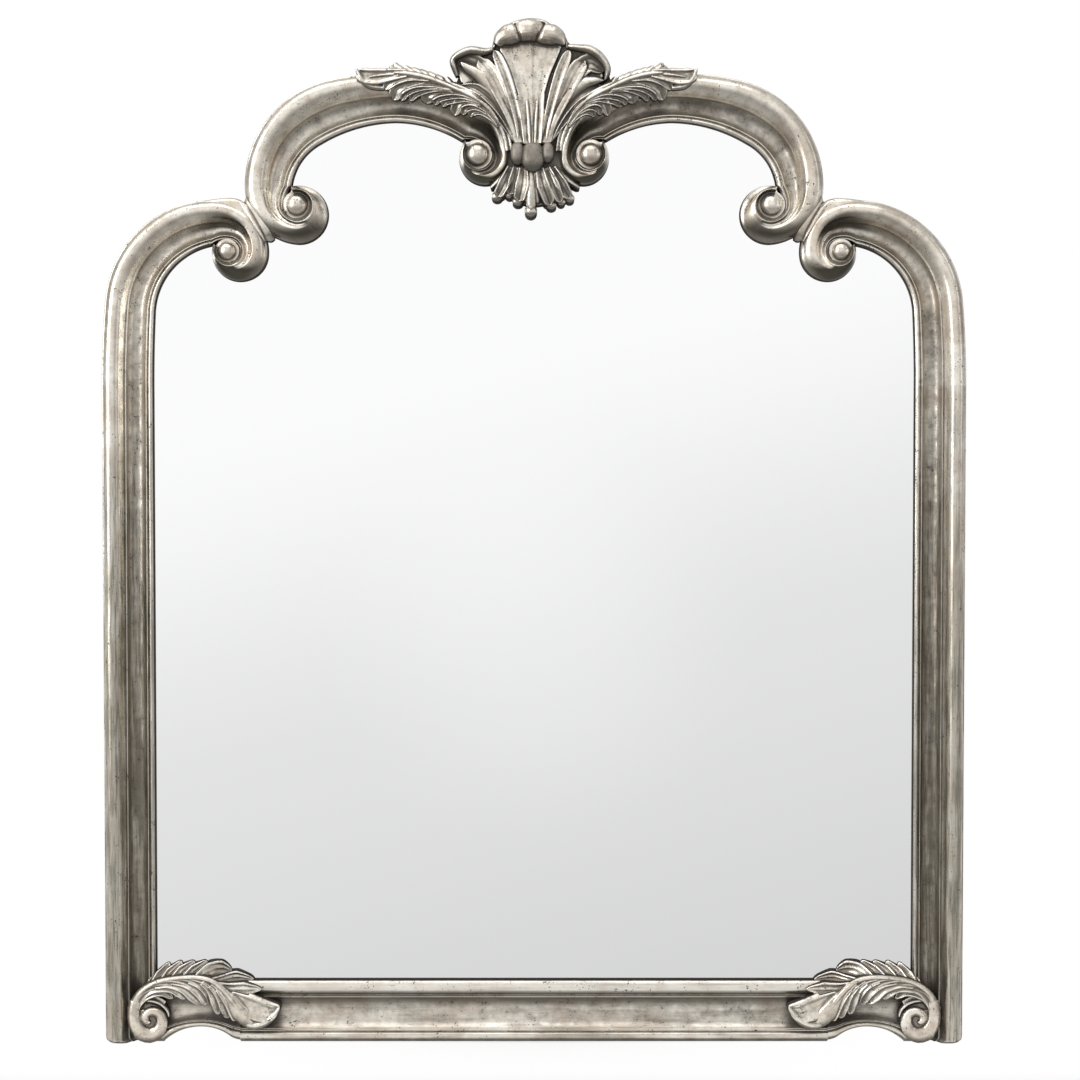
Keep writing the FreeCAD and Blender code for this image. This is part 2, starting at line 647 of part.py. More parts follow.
def circle(sketch, x, y, radius):
    middle = Vector(value_of(x), value_of(y), 0)
    index = sketch.addGeometry(Part.Circle(middle, Vector(0, 0, 1), value_of(radius)), False)
    pin(sketch, index, 3, x, y)
    number = sketch.addConstraint(Sketcher.Constraint("Radius", index, value_of(radius)))
    sketch.setExpression("Constraints[%d]" % number, bound(radius))


def pad(body, sketch, length, name, reverse=False, both_ways=False):
    feature = body.newObject("PartDesign::Pad", name)
    feature.Profile = sketch
    feature.setExpression("Length", bound(length))
    feature.Reversed = reverse
    if both_ways:
        feature.SideType = "Symmetric"


def pocket(body, sketch, name):
    feature = body.newObject("PartDesign::Pocket", name)
    feature.Profile = sketch
    feature.Type = "ThroughAll"
    feature.SideType = "Symmetric"


def stile_body():
    """Left stile: its moulding drawn once and run up from the foot of the frame to the shoulder."""
    body = new_body("stile_moulding")
    sketch = new_sketch(body, "stile_profile", "XY_Plane")
    at = {name: ("member_width * %s" % share, "-" + height) for name, (share, height) in FRAME_PROFILE.items()}
    roll, cove = at["roll_end"] + at["crown"], at["lip"] + at["cove"]
    outline(sketch, [("0", "0"), at["side"], roll, at["step"], cove, at["edge"], ("member_width", "0")])
    pad(body, sketch, "shoulder_base", "stile_length")
    body.setExpression("Placement.Base.x", bound("-frame_width / 2"))
    return body


def strap_body():
    """Left hanger strap: a flat strap with two screw holes, and an eye rolled at its top."""
    body = new_body("left_hanger_strap")
    face = new_sketch(body, "strap_face", "XZ_Plane")
    outline(
        face,
        [
            ("-strap_width / 2", "0"),
            ("-strap_width / 2", "4 - strap_length"),
            ("4 - strap_width / 2", "-strap_length"),
            ("strap_width / 2 - 4", "-strap_length"),
            ("strap_width / 2", "4 - strap_length"),
            ("strap_width / 2", "0"),
        ],
    )
    pad(body, face, "strap_thick", "strap", reverse=True)
    roll = new_sketch(body, "eye_roll", "YZ_Plane")
    circle(roll, "hinge_y", "0", "wire_radius + wire_play + strap_thick")
    pad(body, roll, "eye_width", "rolled_eye", both_ways=True)
    bore = new_sketch(body, "eye_bore", "YZ_Plane")
    circle(bore, "hinge_y", "0", "wire_radius + wire_play")
    pocket(body, bore, "bore")
    holes = new_sketch(body, "screw_holes", "XZ_Plane")
    for below in ("first_screw", "second_screw"):
        circle(holes, "0", "-" + below, "screw_radius")
    pocket(body, holes, "screw_hole")
    body.setExpression("Placement.Base.x", bound("-hinge_x"))
    body.setExpression("Placement.Base.z", bound("hinge_z"))
    return body


# Objects of the document that are made from others


def solid_object(name, shape):
    feature = doc.addObject("Part::Feature", name)
    feature.Shape = shape
    return feature


def slab(name, points, back, thick):
    """Flat plate on an outline, from a height forwards: both sizes are expressions."""
    corners = [Vector(x, 0, z) for x, z in points]
    edge = solid_object(name + "_outline", Part.makePolygon(corners + corners[:1]))
    plate = doc.addObject("Part::Extrusion", name)
    plate.Base = edge
    plate.DirMode = "Custom"
    plate.Dir = Vector(0, -1, 0)
    plate.Solid = True
    plate.setExpression("LengthFwd", bound(thick))
    plate.setExpression("Placement.Base.y", bound("-(%s)" % back))
    return plate


def cut(name, base, *tools):
    """Cuts tools out of a base one after the other."""
    for tool in tools[:-1]:
        step = doc.addObject("Part::Cut", name + "_less_" + tool.Name)
        step.Base, step.Tool = base, tool
        base = step
    last = doc.addObject("Part::Cut", name)
    last.Base, last.Tool = base, tools[-1]
    return last


def mirror(name, source):
    image = doc.addObject("Part::Mirroring", name)
    image.Source = source
    image.Normal = Vector(1, 0, 0)
    return image


def group(name, members):
    compound = doc.addObject("Part::Compound", name)
    compound.Links = members
    return compound


def box(name, length, width, height):
    solid = doc.addObject("Part::Box", name)
    for side, expression in (("Length", length), ("Width", width), ("Height", height)):
        solid.setExpression(side, bound(expression))
    return solid


def prism(name, radius, height):
    """Small round bar with twelve flats."""
    solid = doc.addObject("Part::Prism", name)
    solid.Polygon = 12
    solid.setExpression("Circumradius", bound(radius))
    solid.setExpression("Height", bound(height))
    return solid


def tenon(name, centre, along, length, width):
    """Loose tenon with its middle on a joint, lying along a direction in the plane of the frame."""
    solid = box(name, str(length), "tenon_thick", str(width))
    turned = Placement(Vector(centre[0], 0, centre[1]), Rotation(Vector(0, 1, 0), -along))
    corner = Vector(-length / 2.0, -size("tenon_back") - size("tenon_thick"), -width / 2.0)
    solid.Placement = turned * Placement(corner, Rotation())
    return solid


def glazing_point(name, wall, outward):
    """Flat point driven half its length into the rebate's wall, against the backing board."""
    solid = box(name, "point_long", "point_thick", "point_wide")
    turned = Placement(Vector(wall[0], 0, wall[1]), Rotation(Vector(0, 1, 0), -outward))
    front = size("rebate_depth") - size("glass_thick") - size("board_thick")
    corner = Vector(-size("point_long") / 2.0, -front, -size("point_wide") / 2.0)
    solid.Placement = turned * Placement(corner, Rotation())
    return solid


def screw(name, x, head_y, z, length):
    """Wood screw that goes in from behind: a round head and a shank."""
    head = prism(name + "_head", "head_radius", "head_height")
    shank = prism(name + "_shank", "screw_radius", length)
    forwards = Rotation(Vector(1, 0, 0), 90)
    head.Placement = Placement(Vector(x, head_y + size("head_height"), z), forwards)
    shank.Placement = Placement(Vector(x, head_y, z), forwards)
    whole = doc.addObject("Part::Fuse", name)
    whole.Base, whole.Tool = head, shank
    return whole


def glazing_points():
    """Points round the rebate: three in each stile and in the rail, and one in each shoulder and arch."""
    lap = size("rebate_lap")
    side = size("frame_width") / 2.0 - size("member_width") + lap
    shoulder = size("shoulder_inner") + lap
    walls = [((-side, z), 180.0) for z in (180.0, 400.0, 620.0)]
    walls.append((arc_about((shoulder - side, size("shoulder_centre")), shoulder, 135.0, 90.0, 1)[0], 135.0))
    walls.append(((-171.1, 1144.5 + lap), 90.0))
    walls += [((x, z), 180.0 - outward) for (x, z), outward in [((-wall[0], wall[1]), turn) for wall, turn in walls]]
    walls += [((x, size("rail_height") - lap), -90.0) for x in (-280.0, 0.0, 280.0)]
    return [glazing_point("glazing_point_%d" % i, wall, turn) for i, (wall, turn) in enumerate(walls, start=1)]


# The pieces


def frame_members():
    """Stiles, rail, shoulders, arches and crest block, with the rebate and mortises cut, and their tenons."""
    half, corner = size("frame_width") / 2.0, size("corner_round")
    rebate = slab("rebate", glass_outline(size("glass_gap")), "-1", "rebate_depth + 1")
    foot = [(-half + corner, -1.0), (-half - 1.0, -1.0), (-half - 1.0, corner)]
    foot += arc_about((-half + corner, corner), corner, 180.0, 270.0, 3)
    rounding = slab("stile_rounding", foot, "-1", "roll_crown + 2")
    rail_tenon = tenon("left_rail_tenon", (-474.0, 34.0), 0.0, 44.0, 34.0)
    shoulder_tenon = tenon("left_shoulder_tenon", (-512.0, size("shoulder_base")), 90.0, 44.0, 26.0)
    arch_tenon = tenon("left_arch_tenon", (-349.0, 1031.0), 35.5, 36.0, 22.0)
    crest_tenon = tenon("left_crest_tenon", (-70.0, 1172.0), 0.0, 40.0, 16.0)
    pairs = {}
    for piece in (rail_tenon, shoulder_tenon, arch_tenon, crest_tenon):
        name = piece.Name.replace("left_", "") + "s"
        pairs[name] = group(name, [piece, mirror(piece.Name.replace("left", "right"), piece)])

    shoulder_moulding = solid_object("shoulder_moulding", shoulder_shape())
    arch_moulding = solid_object("arch_moulding", arch_shape())
    rail_moulding = solid_object("rail_moulding", rail_shape())
    stile = cut("left_stile", stile_body(), rebate, rounding, rail_tenon, shoulder_tenon)
    shoulder = cut("left_shoulder", shoulder_moulding, rebate, shoulder_tenon, arch_tenon)
    arch = cut("left_arch", arch_moulding, shoulder_moulding, rebate, arch_tenon, crest_tenon)
    rail = cut("bottom_rail", rail_moulding, rebate, pairs["rail_tenons"])
    pieces = {"left_stile": stile, "left_shoulder": shoulder, "left_arch": arch}
    pieces.update({name.replace("left", "right"): mirror(name.replace("left", "right"), made) for name, made in pieces.items()})
    crest_outline = [(-44, 1064), (-36, 1120), (-50, 1160), (-100, 1180), (-90, 1208), (-60, 1224), (-40, 1244), (-20, 1254)]
    crest_moulding = slab("crest_board", on_both_sides(crest_outline), "0", "block_front")
    crest = cut("crest_block", crest_moulding, rebate, pieces["left_arch"], pieces["right_arch"], pairs["crest_tenons"])
    return {**pieces, "bottom_rail": rail, "crest_block": crest, **pairs}


def carvings(frame):
    """Shell, collar, palmette, leaves and scrolls, each fitted to what carries it."""
    left_arch, right_arch, crest = frame["left_arch"], frame["right_arch"], frame["crest_block"]
    stile, rail = frame["left_stile"], frame["bottom_rail"]
    shell = cut("crest_shell", solid_object("shell_carving", shell_shape()), left_arch, right_arch)
    collar = cut("shell_collar", solid_object("collar_beads", collar_shape()), crest, shell, left_arch, right_arch)
    petals = solid_object("pendant_petals", pendant_shape())
    pendant = cut("pendant_palmette", petals, crest, collar, left_arch, right_arch)
    acanthus = cut("left_acanthus", solid_object("acanthus_carving", acanthus_shape()), left_arch, crest, shell)
    scroll = cut("left_corner_scroll", solid_object("scroll_carving", corner_scroll_shape()), stile, rail)
    leaf = cut("left_corner_leaf", solid_object("leaf_carving", corner_leaf_shape()), stile, rail, scroll)
    right = [mirror(made.Name.replace("left", "right"), made) for made in (acanthus, scroll, leaf)]
    return {made.Name: made for made in [shell, collar, pendant, acanthus, scroll, leaf] + right}


def glass_and_back():
    behind = "rebate_depth - glass_thick"
    glass = slab("mirror_glass", glass_outline(0.0), behind, "glass_thick")
    board = slab("backing_board", glass_outline(0.0), behind + " - board_thick", "board_thick")
    return {"mirror_glass": glass, "backing_board": board, "glazing_points": group("glazing_points", glazing_points())}


def hangers():
    """Straps, rings, screws and wall pads on the backs of the stiles, and the screws of the crest."""
    strap = strap_body()
    pieces = {"left_hanger_strap": strap, "right_hanger_strap": mirror("right_hanger_strap", strap)}
    hanger_screws, pads = [], []
    for name, side in (("left", -1), ("right", 1)):
        ring = solid_object(name + "_ring", ring_shape())
        ring.setExpression("Placement.Base.x", bound("%d * hinge_x" % side))
        ring.setExpression("Placement.Base.y", bound("hinge_y"))
        ring.setExpression("Placement.Base.z", bound("hinge_z"))
        pieces[name + "_ring"] = ring
        for row in ("first_screw", "second_screw"):
            place = (side * size("hinge_x"), size("strap_thick"), size("hinge_z") - size(row))
            hanger_screws.append(screw("%s_%s" % (name, row), *place, "hanger_screw"))
        bumper = doc.addObject("Part::Cylinder", name + "_bumper")
        bumper.setExpression("Radius", bound("bumper_radius"))
        bumper.setExpression("Height", bound("bumper_thick"))
        bumper.Placement = Placement(Vector(side * size("hinge_x"), 0, 40), Rotation(Vector(1, 0, 0), -90))
        pads.append(bumper)
    crest_screws = [screw("crest_screw_%d" % i, 0.0, 0.0, z, "crest_screw") for i, z in enumerate((1165.0, 1215.0), start=1)]
    pieces["hanger_screws"] = group("hanger_screws", hanger_screws)
    pieces["crest_screws"] = group("crest_screws", crest_screws)
    pieces["wall_bumpers"] = group("wall_bumpers", pads)
    return pieces


def finish(pieces):
    """Recomputes the document, checks every object and writes each piece to its own file."""
    doc.recompute()
    faults = [item.Name for item in doc.Objects if {"Invalid", "Error"} & set(item.State)]
    for name, piece in pieces.items():
        piece.Label = name
        if piece.Shape.isNull() or not piece.Shape.isValid() or not piece.Shape.Solids:
            faults.append(name)
    if faults:
        raise SystemExit("not sound: " + ", ".join(faults))
    os.makedirs("parts", exist_ok=True)
    for name, piece in sorted(pieces.items()):
        piece.Shape.exportStep("parts/%s.step" % name)
        print("%s: %d solids, %.0f cubic mm" % (name, len(piece.Shape.Solids), piece.Shape.Volume))


members = frame_members()
finish({**members, **carvings(members), **glass_and_back(), **hangers()})
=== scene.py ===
import math

import bmesh
import bpy
import numpy as np
from mathutils import Matrix, Vector


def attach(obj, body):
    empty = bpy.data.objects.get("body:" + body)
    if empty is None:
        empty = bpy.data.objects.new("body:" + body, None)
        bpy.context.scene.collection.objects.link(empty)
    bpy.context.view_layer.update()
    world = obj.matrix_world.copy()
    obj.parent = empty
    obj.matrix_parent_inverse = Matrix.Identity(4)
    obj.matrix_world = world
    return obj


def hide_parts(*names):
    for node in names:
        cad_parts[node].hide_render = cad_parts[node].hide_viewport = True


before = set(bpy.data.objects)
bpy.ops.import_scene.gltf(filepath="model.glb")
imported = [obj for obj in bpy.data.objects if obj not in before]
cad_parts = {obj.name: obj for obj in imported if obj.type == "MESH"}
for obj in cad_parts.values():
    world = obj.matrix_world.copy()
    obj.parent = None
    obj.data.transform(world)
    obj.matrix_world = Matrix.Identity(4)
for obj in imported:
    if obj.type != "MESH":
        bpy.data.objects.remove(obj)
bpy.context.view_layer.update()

mm = 0.001
print("frame loaded")

# Camera: about 3 m in front of the mirror, a little above its middle
cameraSetup = {
    "place": (0.0, -3.0, 0.7327),
    "tilt": 2.0,  # degrees down
    "lens": 79.81,
    "shiftX": 0.0055,
    "farthest": 400.0,  # metres
}
cameraData = bpy.data.cameras.new("camera")
cameraData.lens = cameraSetup["lens"]
cameraData.shift_x = cameraSetup["shiftX"]
cameraData.clip_end = cameraSetup["farthest"]
camera = bpy.data.objects.new("camera", cameraData)
camera.location = cameraSetup["place"]
camera.rotation_euler = (math.radians(90.0 - cameraSetup["tilt"]), 0.0, 0.0)
bpy.context.scene.collection.objects.link(camera)
bpy.context.scene.camera = camera
bpy.context.scene.view_settings.view_transform = "Standard"


# Node helpers


def newMaterial(name):
    material = bpy.data.materials.new(name)
    material.use_nodes = True
    tree = material.node_tree
    shader = tree.nodes["Principled BSDF"]
    return material, tree, shader


def addNode(tree, kind, inputs=(), **settings):
    node = tree.nodes.new(kind)
    for key, value in settings.items():
        setattr(node, key, value)
    for key, value in dict(inputs).items():
        if isinstance(value, bpy.types.NodeSocket):
            tree.links.new(value, node.inputs[key])
        else:
            node.inputs[key].default_value = value
    return node


def mathNode(tree, operation, first, second=0.0, clamp=False):
    return addNode(tree, "ShaderNodeMath", {0: first, 1: second}, operation=operation, use_clamp=clamp).outputs[0]


def plus(tree, first, second, clamp=False):
    return mathNode(tree, "ADD", first, second, clamp)


def times(tree, first, second):
    return mathNode(tree, "MULTIPLY", first, second)


def rampNode(tree, factor, low, high):
    # 0 below low, 1 above high, smooth between
    node = addNode(tree, "ShaderNodeMapRange", {"Value": factor, "From Min": low, "From Max": high})
    node.interpolation_type = "SMOOTHSTEP"
    return node.outputs["Result"]


def mixColour(tree, factor, first, second):
    node = tree.nodes.new("ShaderNodeMix")
    node.data_type = "RGBA"
    for key, value in ((0, factor), (6, first), (7, second)):
        if isinstance(value, bpy.types.NodeSocket):
            tree.links.new(value, node.inputs[key])
        elif key == 0:
            node.inputs[key].default_value = value
        else:
            node.inputs[key].default_value = (*value, 1.0)
    return node.outputs[2]


def noiseNode(tree, place, scale, detail=3.0, roughness=0.55, distortion=0.0):
    inputs = {"Vector": place, "Scale": scale, "Detail": detail, "Roughness": roughness, "Distortion": distortion}
    return addNode(tree, "ShaderNodeTexNoise", inputs).outputs["Fac"]


def ownPlace(tree):
    return addNode(tree, "ShaderNodeTexCoord").outputs["Object"]


def axes(tree, vector):
    return addNode(tree, "ShaderNodeSeparateXYZ", {0: vector}).outputs[:3]


def stretched(tree, place, scale):
    return addNode(tree, "ShaderNodeMapping", {"Vector": place, "Scale": scale}).outputs["Vector"]


# Studio: white surroundings, a pale floor that glows with painted light, and soft boxes
studio = {
    "white": 1.0,
    "above": 0.70,
    "side": 0.36,
    "below": 0.10,
    "leftGain": 0.16,
    "fade": 0.20,  # how much the backdrop darkens towards the floor and the right
    "floorFade": 0.13,
    "floorHalf": 150.0,  # metres
}
softBoxes = {  # place, aim, width, height, power
    "top_box": ((-0.35, -1.0, 3.0), (0.0, 0.0, 0.9), 3.0, 1.4, 20.0),
    "left_box": ((-2.4, -1.7, 1.4), (-0.3, 0.0, 0.7), 1.0, 2.4, 36.0),
    "right_box": ((2.8, -1.1, 1.5), (0.3, 0.0, 0.7), 0.8, 2.2, 5.0),
}


def backdropTone(tree, down, aside):
    # down and aside: slopes of the line of sight; the fade runs on from the floor into the backdrop
    run = plus(tree, down, times(tree, aside, 0.27))
    first = times(tree, rampNode(tree, run, -0.055, 0.105), studio["fade"])
    second = times(tree, rampNode(tree, run, 0.06, 0.30), studio["floorFade"])
    lower = mathNode(tree, "SUBTRACT", down, 0.075)
    off = plus(tree, times(tree, lower, lower), times(tree, aside, aside))
    glow = times(tree, rampNode(tree, mathNode(tree, "SQRT", off), 0.10, 0.01), 0.06)
    return plus(tree, mathNode(tree, "SUBTRACT", studio["white"], plus(tree, first, second)), glow, clamp=True)


def buildWorld():
    world = bpy.data.worlds.new("studio")
    bpy.context.scene.world = world
    world.use_nodes = True
    tree = world.node_tree
    background = tree.nodes["Background"]
    place = addNode(tree, "ShaderNodeTexCoord").outputs["Generated"]
    x, y, z = axes(tree, place)
    depth = mathNode(tree, "MAXIMUM", mathNode(tree, "ABSOLUTE", y), 0.05)
    down = mathNode(tree, "DIVIDE", times(tree, z, -1.0), depth)
    backdrop = backdropTone(tree, down, mathNode(tree, "DIVIDE", x, depth))
    front = rampNode(tree, times(tree, y, -1.0), 0.60, 0.92)
    behind = rampNode(tree, y, 0.78, 0.94)
    side = mixColour(tree, rampNode(tree, z, -0.25, 0.3), (studio["below"],) * 3, (studio["side"],) * 3)
    side = mixColour(tree, rampNode(tree, z, 0.3, 0.9), side, (studio["above"],) * 3)
    side = mixColour(tree, times(tree, rampNode(tree, x, 0.1, -0.8), studio["leftGain"]), side, (1.0, 1.0, 1.0))
    colour = mixColour(tree, front, side, backdrop)
    colour = mixColour(tree, behind, colour, (studio["white"],) * 3)
    tree.links.new(colour, background.inputs["Color"])
    background.inputs["Strength"].default_value = 1.0


def buildFloor():
    mesh = bpy.data.meshes.new("floor")
    reach, eye = studio["floorHalf"], cameraSetup["place"]
    corners = [(-reach, -reach, 0), (reach, -reach, 0), (reach, reach, 0), (-reach, reach, 0)]
    mesh.from_pydata(corners, [], [(0, 1, 2, 3)])
    floor = bpy.data.objects.new("floor", mesh)
    bpy.context.scene.collection.objects.link(floor)
    material, tree, shader = newMaterial("pale_floor")
    place = ownPlace(tree)
    x, y, z = axes(tree, place)
    away = mathNode(tree, "MAXIMUM", mathNode(tree, "SUBTRACT", -eye[1], y), 0.5)
    # painted light: the floor glows in the tone of the backdrop seen from the camera's place, with a brighter spot, and
    # is white near the mirror and greyer in front of it, as the mirror shows it
    light = backdropTone(tree, mathNode(tree, "DIVIDE", eye[2], away), mathNode(tree, "DIVIDE", x, away))
    light = mixColour(tree, rampNode(tree, y, -0.38, -0.16), light, (studio["white"],) * 3)
    distance = mathNode(tree, "SQRT", plus(tree, times(tree, x, x), times(tree, y, y)))
    shader.inputs["Base Color"].default_value = (0.9, 0.9, 0.9, 1.0)
    shader.inputs["Roughness"].default_value = 0.9
    shader.inputs["Specular IOR Level"].default_value = 0.1
    # the glow covers most of the floor and so washes out its shadows
    glow = addNode(tree, "ShaderNodeEmission", {"Color": light, "Strength": 1.0})
    glowShare = rampNode(tree, distance, -1.1, 0.5)
    blendOut = addNode(tree, "ShaderNodeMixShader", {0: glowShare, 1: shader.outputs[0], 2: glow.outputs[0]})
    tree.links.new(blendOut.outputs[0], tree.nodes["Material Output"].inputs["Surface"])
    mesh.materials.append(material)


def softBox(name, place, aim, width, height, power):
    data = bpy.data.lights.new(name, "AREA")
    data.shape = "RECTANGLE"
    data.size, data.size_y, data.energy = width, height, power
    light = bpy.data.objects.new(name, data)
    light.location = place
    light.rotation_euler = (Vector(aim) - Vector(place)).to_track_quat("-Z", "Y").to_euler()
    bpy.context.scene.collection.objects.link(light)


buildWorld()
buildFloor()
for boxName, box in softBoxes.items():
    softBox(boxName, *box)
print("studio ready")


# Members of the frame, in millimetres
stile = {"half": 535.0, "width": 60.8, "top": 820.0, "cornerRound": 9.0, "step": 5.0}
rail = {"half": 474.2, "height": 76.0, "step": 4.0}
glassRebate = {"lap": 9.0, "depth": 12.0}
fineness = 12  # steps in the shortest arcs of a shoulder or an arch

# Outlines in millimetres, as lists of (x, z)


def mix(a, b, share):
    return a + (b - a) * share


def arcAbout(centre, radius, start, end, steps):
    angles = np.radians(np.linspace(start, end, steps + 1))
    return np.column_stack([centre[0] + radius * np.cos(angles), centre[1] + radius * np.sin(angles)])


def bend(start, end, turn, steps):
    # the arc between two points that turns by so many degrees
    chord = math.hypot(end[0] - start[0], end[1] - start[1])
    radius = chord / (2.0 * math.sin(math.radians(abs(turn)) / 2.0))
    side = 1.0 if turn > 0 else -1.0
    heading = math.atan2(end[1] - start[1], end[0] - start[0]) - math.radians(turn) / 2.0
    centre = (start[0] - side * radius * math.sin(heading), start[1] + side * radius * math.cos(heading))
    first = math.degrees(heading) - side * 90.0
    return arcAbout(centre, radius, first, first + turn, steps)


def chain(start, heading, arcs):
    # arcs that follow each other smoothly: (radius, turn, steps)
    points = np.array([start], float)
    for radius, turn, steps in arcs:
        side = 1.0 if turn > 0 else -1.0
        angle = math.radians(heading)
        x, z = points[-1]
        centre = (x - side * radius * math.sin(angle), z + side * radius * math.cos(angle))
        arc = arcAbout(centre, radius, heading - side * 90.0, heading - side * 90.0 + turn, steps)
        points = np.vstack([points, arc[1:]])
        heading += turn
    return points


def joined(*runs):
    return np.vstack([runs[0]] + [run[1:] for run in runs[1:]])


def shareMarks(first, *marks):
    # a value for each station: marks are (steps, value at their end)
    values = [first]
    for steps, end in marks:
        begin = values[-1]
        values += [mix(begin, end, i / steps) for i in range(1, steps + 1)]
    return np.array(values)


def glassEdge():
    # left half of the rebate's outline
    lap = glassRebate["lap"]
    side, foot, shoulder = rail["half"] + lap, rail["height"] - lap, 85.6 + lap
    centre = (-side + shoulder, 908.0)
    stepX, stepZ, fillet = -301.0 - lap, centre[1] + shoulder, 9.0
    corner = (stepX - fillet, stepZ + fillet)
    haunch, crown = (-264.1 - 0.8 * lap, 1119.2 + 0.6 * lap), (-171.1, 1144.5 + lap)
    return joined(
        np.array([(0.0, foot), (-side, foot)]),
        np.array([(-side, foot), (-side, centre[1])]),
        arcAbout(centre, shoulder, 180.0, 90.0, 24),
        np.array([(centre[0], stepZ), (corner[0], stepZ)]),
        arcAbout(corner, fillet, -90.0, 0.0, 6),
        np.array([(stepX, corner[1]), (stepX, 1066.0)]),
        bend((stepX, 1066.0), haunch, -55.0, 16),
        bend(haunch, crown, -30.0, 10),
        np.array([crown, (0.0, crown[1])]),
    )


# Sections of the mouldings: (distance from the outer edge, height above the back plane)


def arcThrough(first, middle, last, steps):
    # the circle through three points
    (ax, ay), (bx, by), (cx, cy) = first, middle, last
    d = 2.0 * (ax * (by - cy) + bx * (cy - ay) + cx * (ay - by))
    a2, b2, c2 = ax * ax + ay * ay, bx * bx + by * by, cx * cx + cy * cy
    ux = (a2 * (by - cy) + b2 * (cy - ay) + c2 * (ay - by)) / d
    uy = (a2 * (cx - bx) + b2 * (ax - cx) + c2 * (bx - ax)) / d
    radius = math.hypot(ax - ux, ay - uy)
    start, via, end = (math.atan2(y - uy, x - ux) for x, y in (first, middle, last))
    turn = (end - start) % (2.0 * math.pi)
    if (via - start) % (2.0 * math.pi) > turn:
        turn -= 2.0 * math.pi
    return [(ux + radius * math.cos(start + turn * i / steps), uy + radius * math.sin(start + turn * i / steps))
            for i in range(steps + 1)]


def sectionOf(width, *parts):
    # parts are points or lists of points; the distances become shares of the width
    points = []
    for part in parts:
        points += part if isinstance(part, list) else [part]
    points = np.array(points)
    points[:, 0] /= width
    return points


def frameSection(rollEnd, coveStart, step):
    # outer roll, step, cove and lip
    return sectionOf(
        stile["width"], (0.0, 31.0), (0.5, 31.6), (1.3, 31.9),
        arcThrough((1.9, 31.9), (11.4, 42.7), (20.6, rollEnd), 16), step,
        arcThrough((29.6, coveStart), (41.0, 16.4), (52.4, 23.2), 16),
        (53.0, 24.1), (53.7, 24.2), (54.4, 23.0), (55.2, 21.9),
        arcThrough((55.8, 22.0), (57.9, 23.8), (60.2, 22.0), 6), (60.8, 21.0))


stileSection = frameSection(38.6, 27.3, [
    (21.2, 37.9), (22.6, 34.6), (24.6, 31.0), (26.2, 28.6), (27.0, 27.6), (27.6, 27.6), (28.2, 28.5), (28.9, 28.5)])
bendSection = frameSection(38.9, 26.3, [
    (21.2, 38.4), (22.8, 36.6), (24.6, 34.1), (26.2, 31.5), (27.0, 30.0), (27.6, 29.0), (28.2, 28.1), (28.9, 27.2)])
voluteSection = sectionOf(
    1.0,
    (0.0, 12.0), (0.008, 14.0), (0.018, 16.5),
    arcThrough((0.03, 18.6), (0.24, 32.0), (0.54, 39.2), 16),
    (0.555, 39.45), (0.57, 39.7), (0.585, 39.95), (0.60, 40.2), (0.61, 40.35), (0.62, 40.5), (0.63, 40.65),
    (0.64, 40.8),
    arcThrough((0.65, 40.95), (0.695, 41.7), (0.74, 42.3), 16),
    (0.755, 42.4), (0.775, 42.3), (0.80, 41.6), (0.825, 40.0),
    arcThrough((0.85, 38.0), (0.905, 34.4), (0.97, 32.7), 6),
    (1.0, 32.5))
railSection = sectionOf(
    rail["height"],
    (0.0, 22.0), (0.3, 23.0), (0.8, 24.2),
    arcThrough((1.2, 25.2), (5.6, 31.0), (12.0, 29.8), 16),
    (12.6, 29.2), (13.0, 27.4), (13.5, 27.0), (14.6, 27.6), (15.6, 27.6), (16.2, 26.6), (16.8, 26.2), (17.4, 26.2),
    arcThrough((18.0, 25.4), (35.5, 16.2), (55.2, 22.6), 16),
    (56.0, 24.0), (57.0, 24.3), (57.8, 22.6), (58.6, 21.6),
    arcThrough((59.2, 21.6), (67.0, 25.0), (75.0, 21.8), 6),
    (76.0, 21.0))


# Meshes from numbers


def meshObject(name, corners, faces, smoothAngle=35.0):
    mesh = bpy.data.meshes.new(name)
    mesh.from_pydata(np.asarray(corners) * mm, [], faces)
    shape = bmesh.new()
    shape.from_mesh(mesh)
    bmesh.ops.recalc_face_normals(shape, faces=shape.faces)
    shape.to_mesh(mesh)
    shape.free()
    mesh.shade_smooth()
    mesh.set_sharp_from_angle(angle=math.radians(smoothAngle))
    piece = bpy.data.objects.new(name, mesh)
    bpy.context.scene.collection.objects.link(piece)
    return piece


def gridFaces(rows, columns, offset=0):
    # quads of a grid that closes round its columns, and a cap at both ends
    faces = []
    for i in range(rows - 1):
        for k in range(columns):
            following = (k + 1) % columns
            a, b = offset + i * columns + k, offset + i * columns + following
            faces.append((a, a + columns, b + columns, b))
    faces.append(tuple(offset + k for k in range(columns)))
    faces.append(tuple(offset + (rows - 1) * columns + k for k in reversed(range(columns))))
    return faces


def insideOutline(points, outline):
    # even-odd test of many points
    x, z = points[:, 0][:, None], points[:, 1][:, None]
    ax, az = outline[:, 0][None], outline[:, 1][None]
    bx, bz = np.roll(outline[:, 0], -1)[None], np.roll(outline[:, 1], -1)[None]
    spans = (az > z) != (bz > z)
    with np.errstate(divide="ignore", invalid="ignore"):
        crossing = ax + (z - az) * (bx - ax) / (bz - az)
    return (np.sum(spans & (x < crossing), axis=1) % 2) == 1


leftRebate = glassEdge()
wholeRebate = np.vstack([leftRebate, leftRebate[::-1] * (-1.0, 1.0)])


def rebateShare(outer, inner):
    # share of the way from the outer to the inner edge where the rebate begins: 1 where it doesn't
    tries = np.linspace(0.0, 1.0, 161)
    shares = np.ones(len(outer))
    for i, (p, q) in enumerate(zip(outer, inner)):
        places = p[None] + (q - p)[None] * tries[:, None]
        hits = insideOutline(places, wholeRebate)
        if hits.any():
            shares[i] = tries[np.argmax(hits)]
    return shares


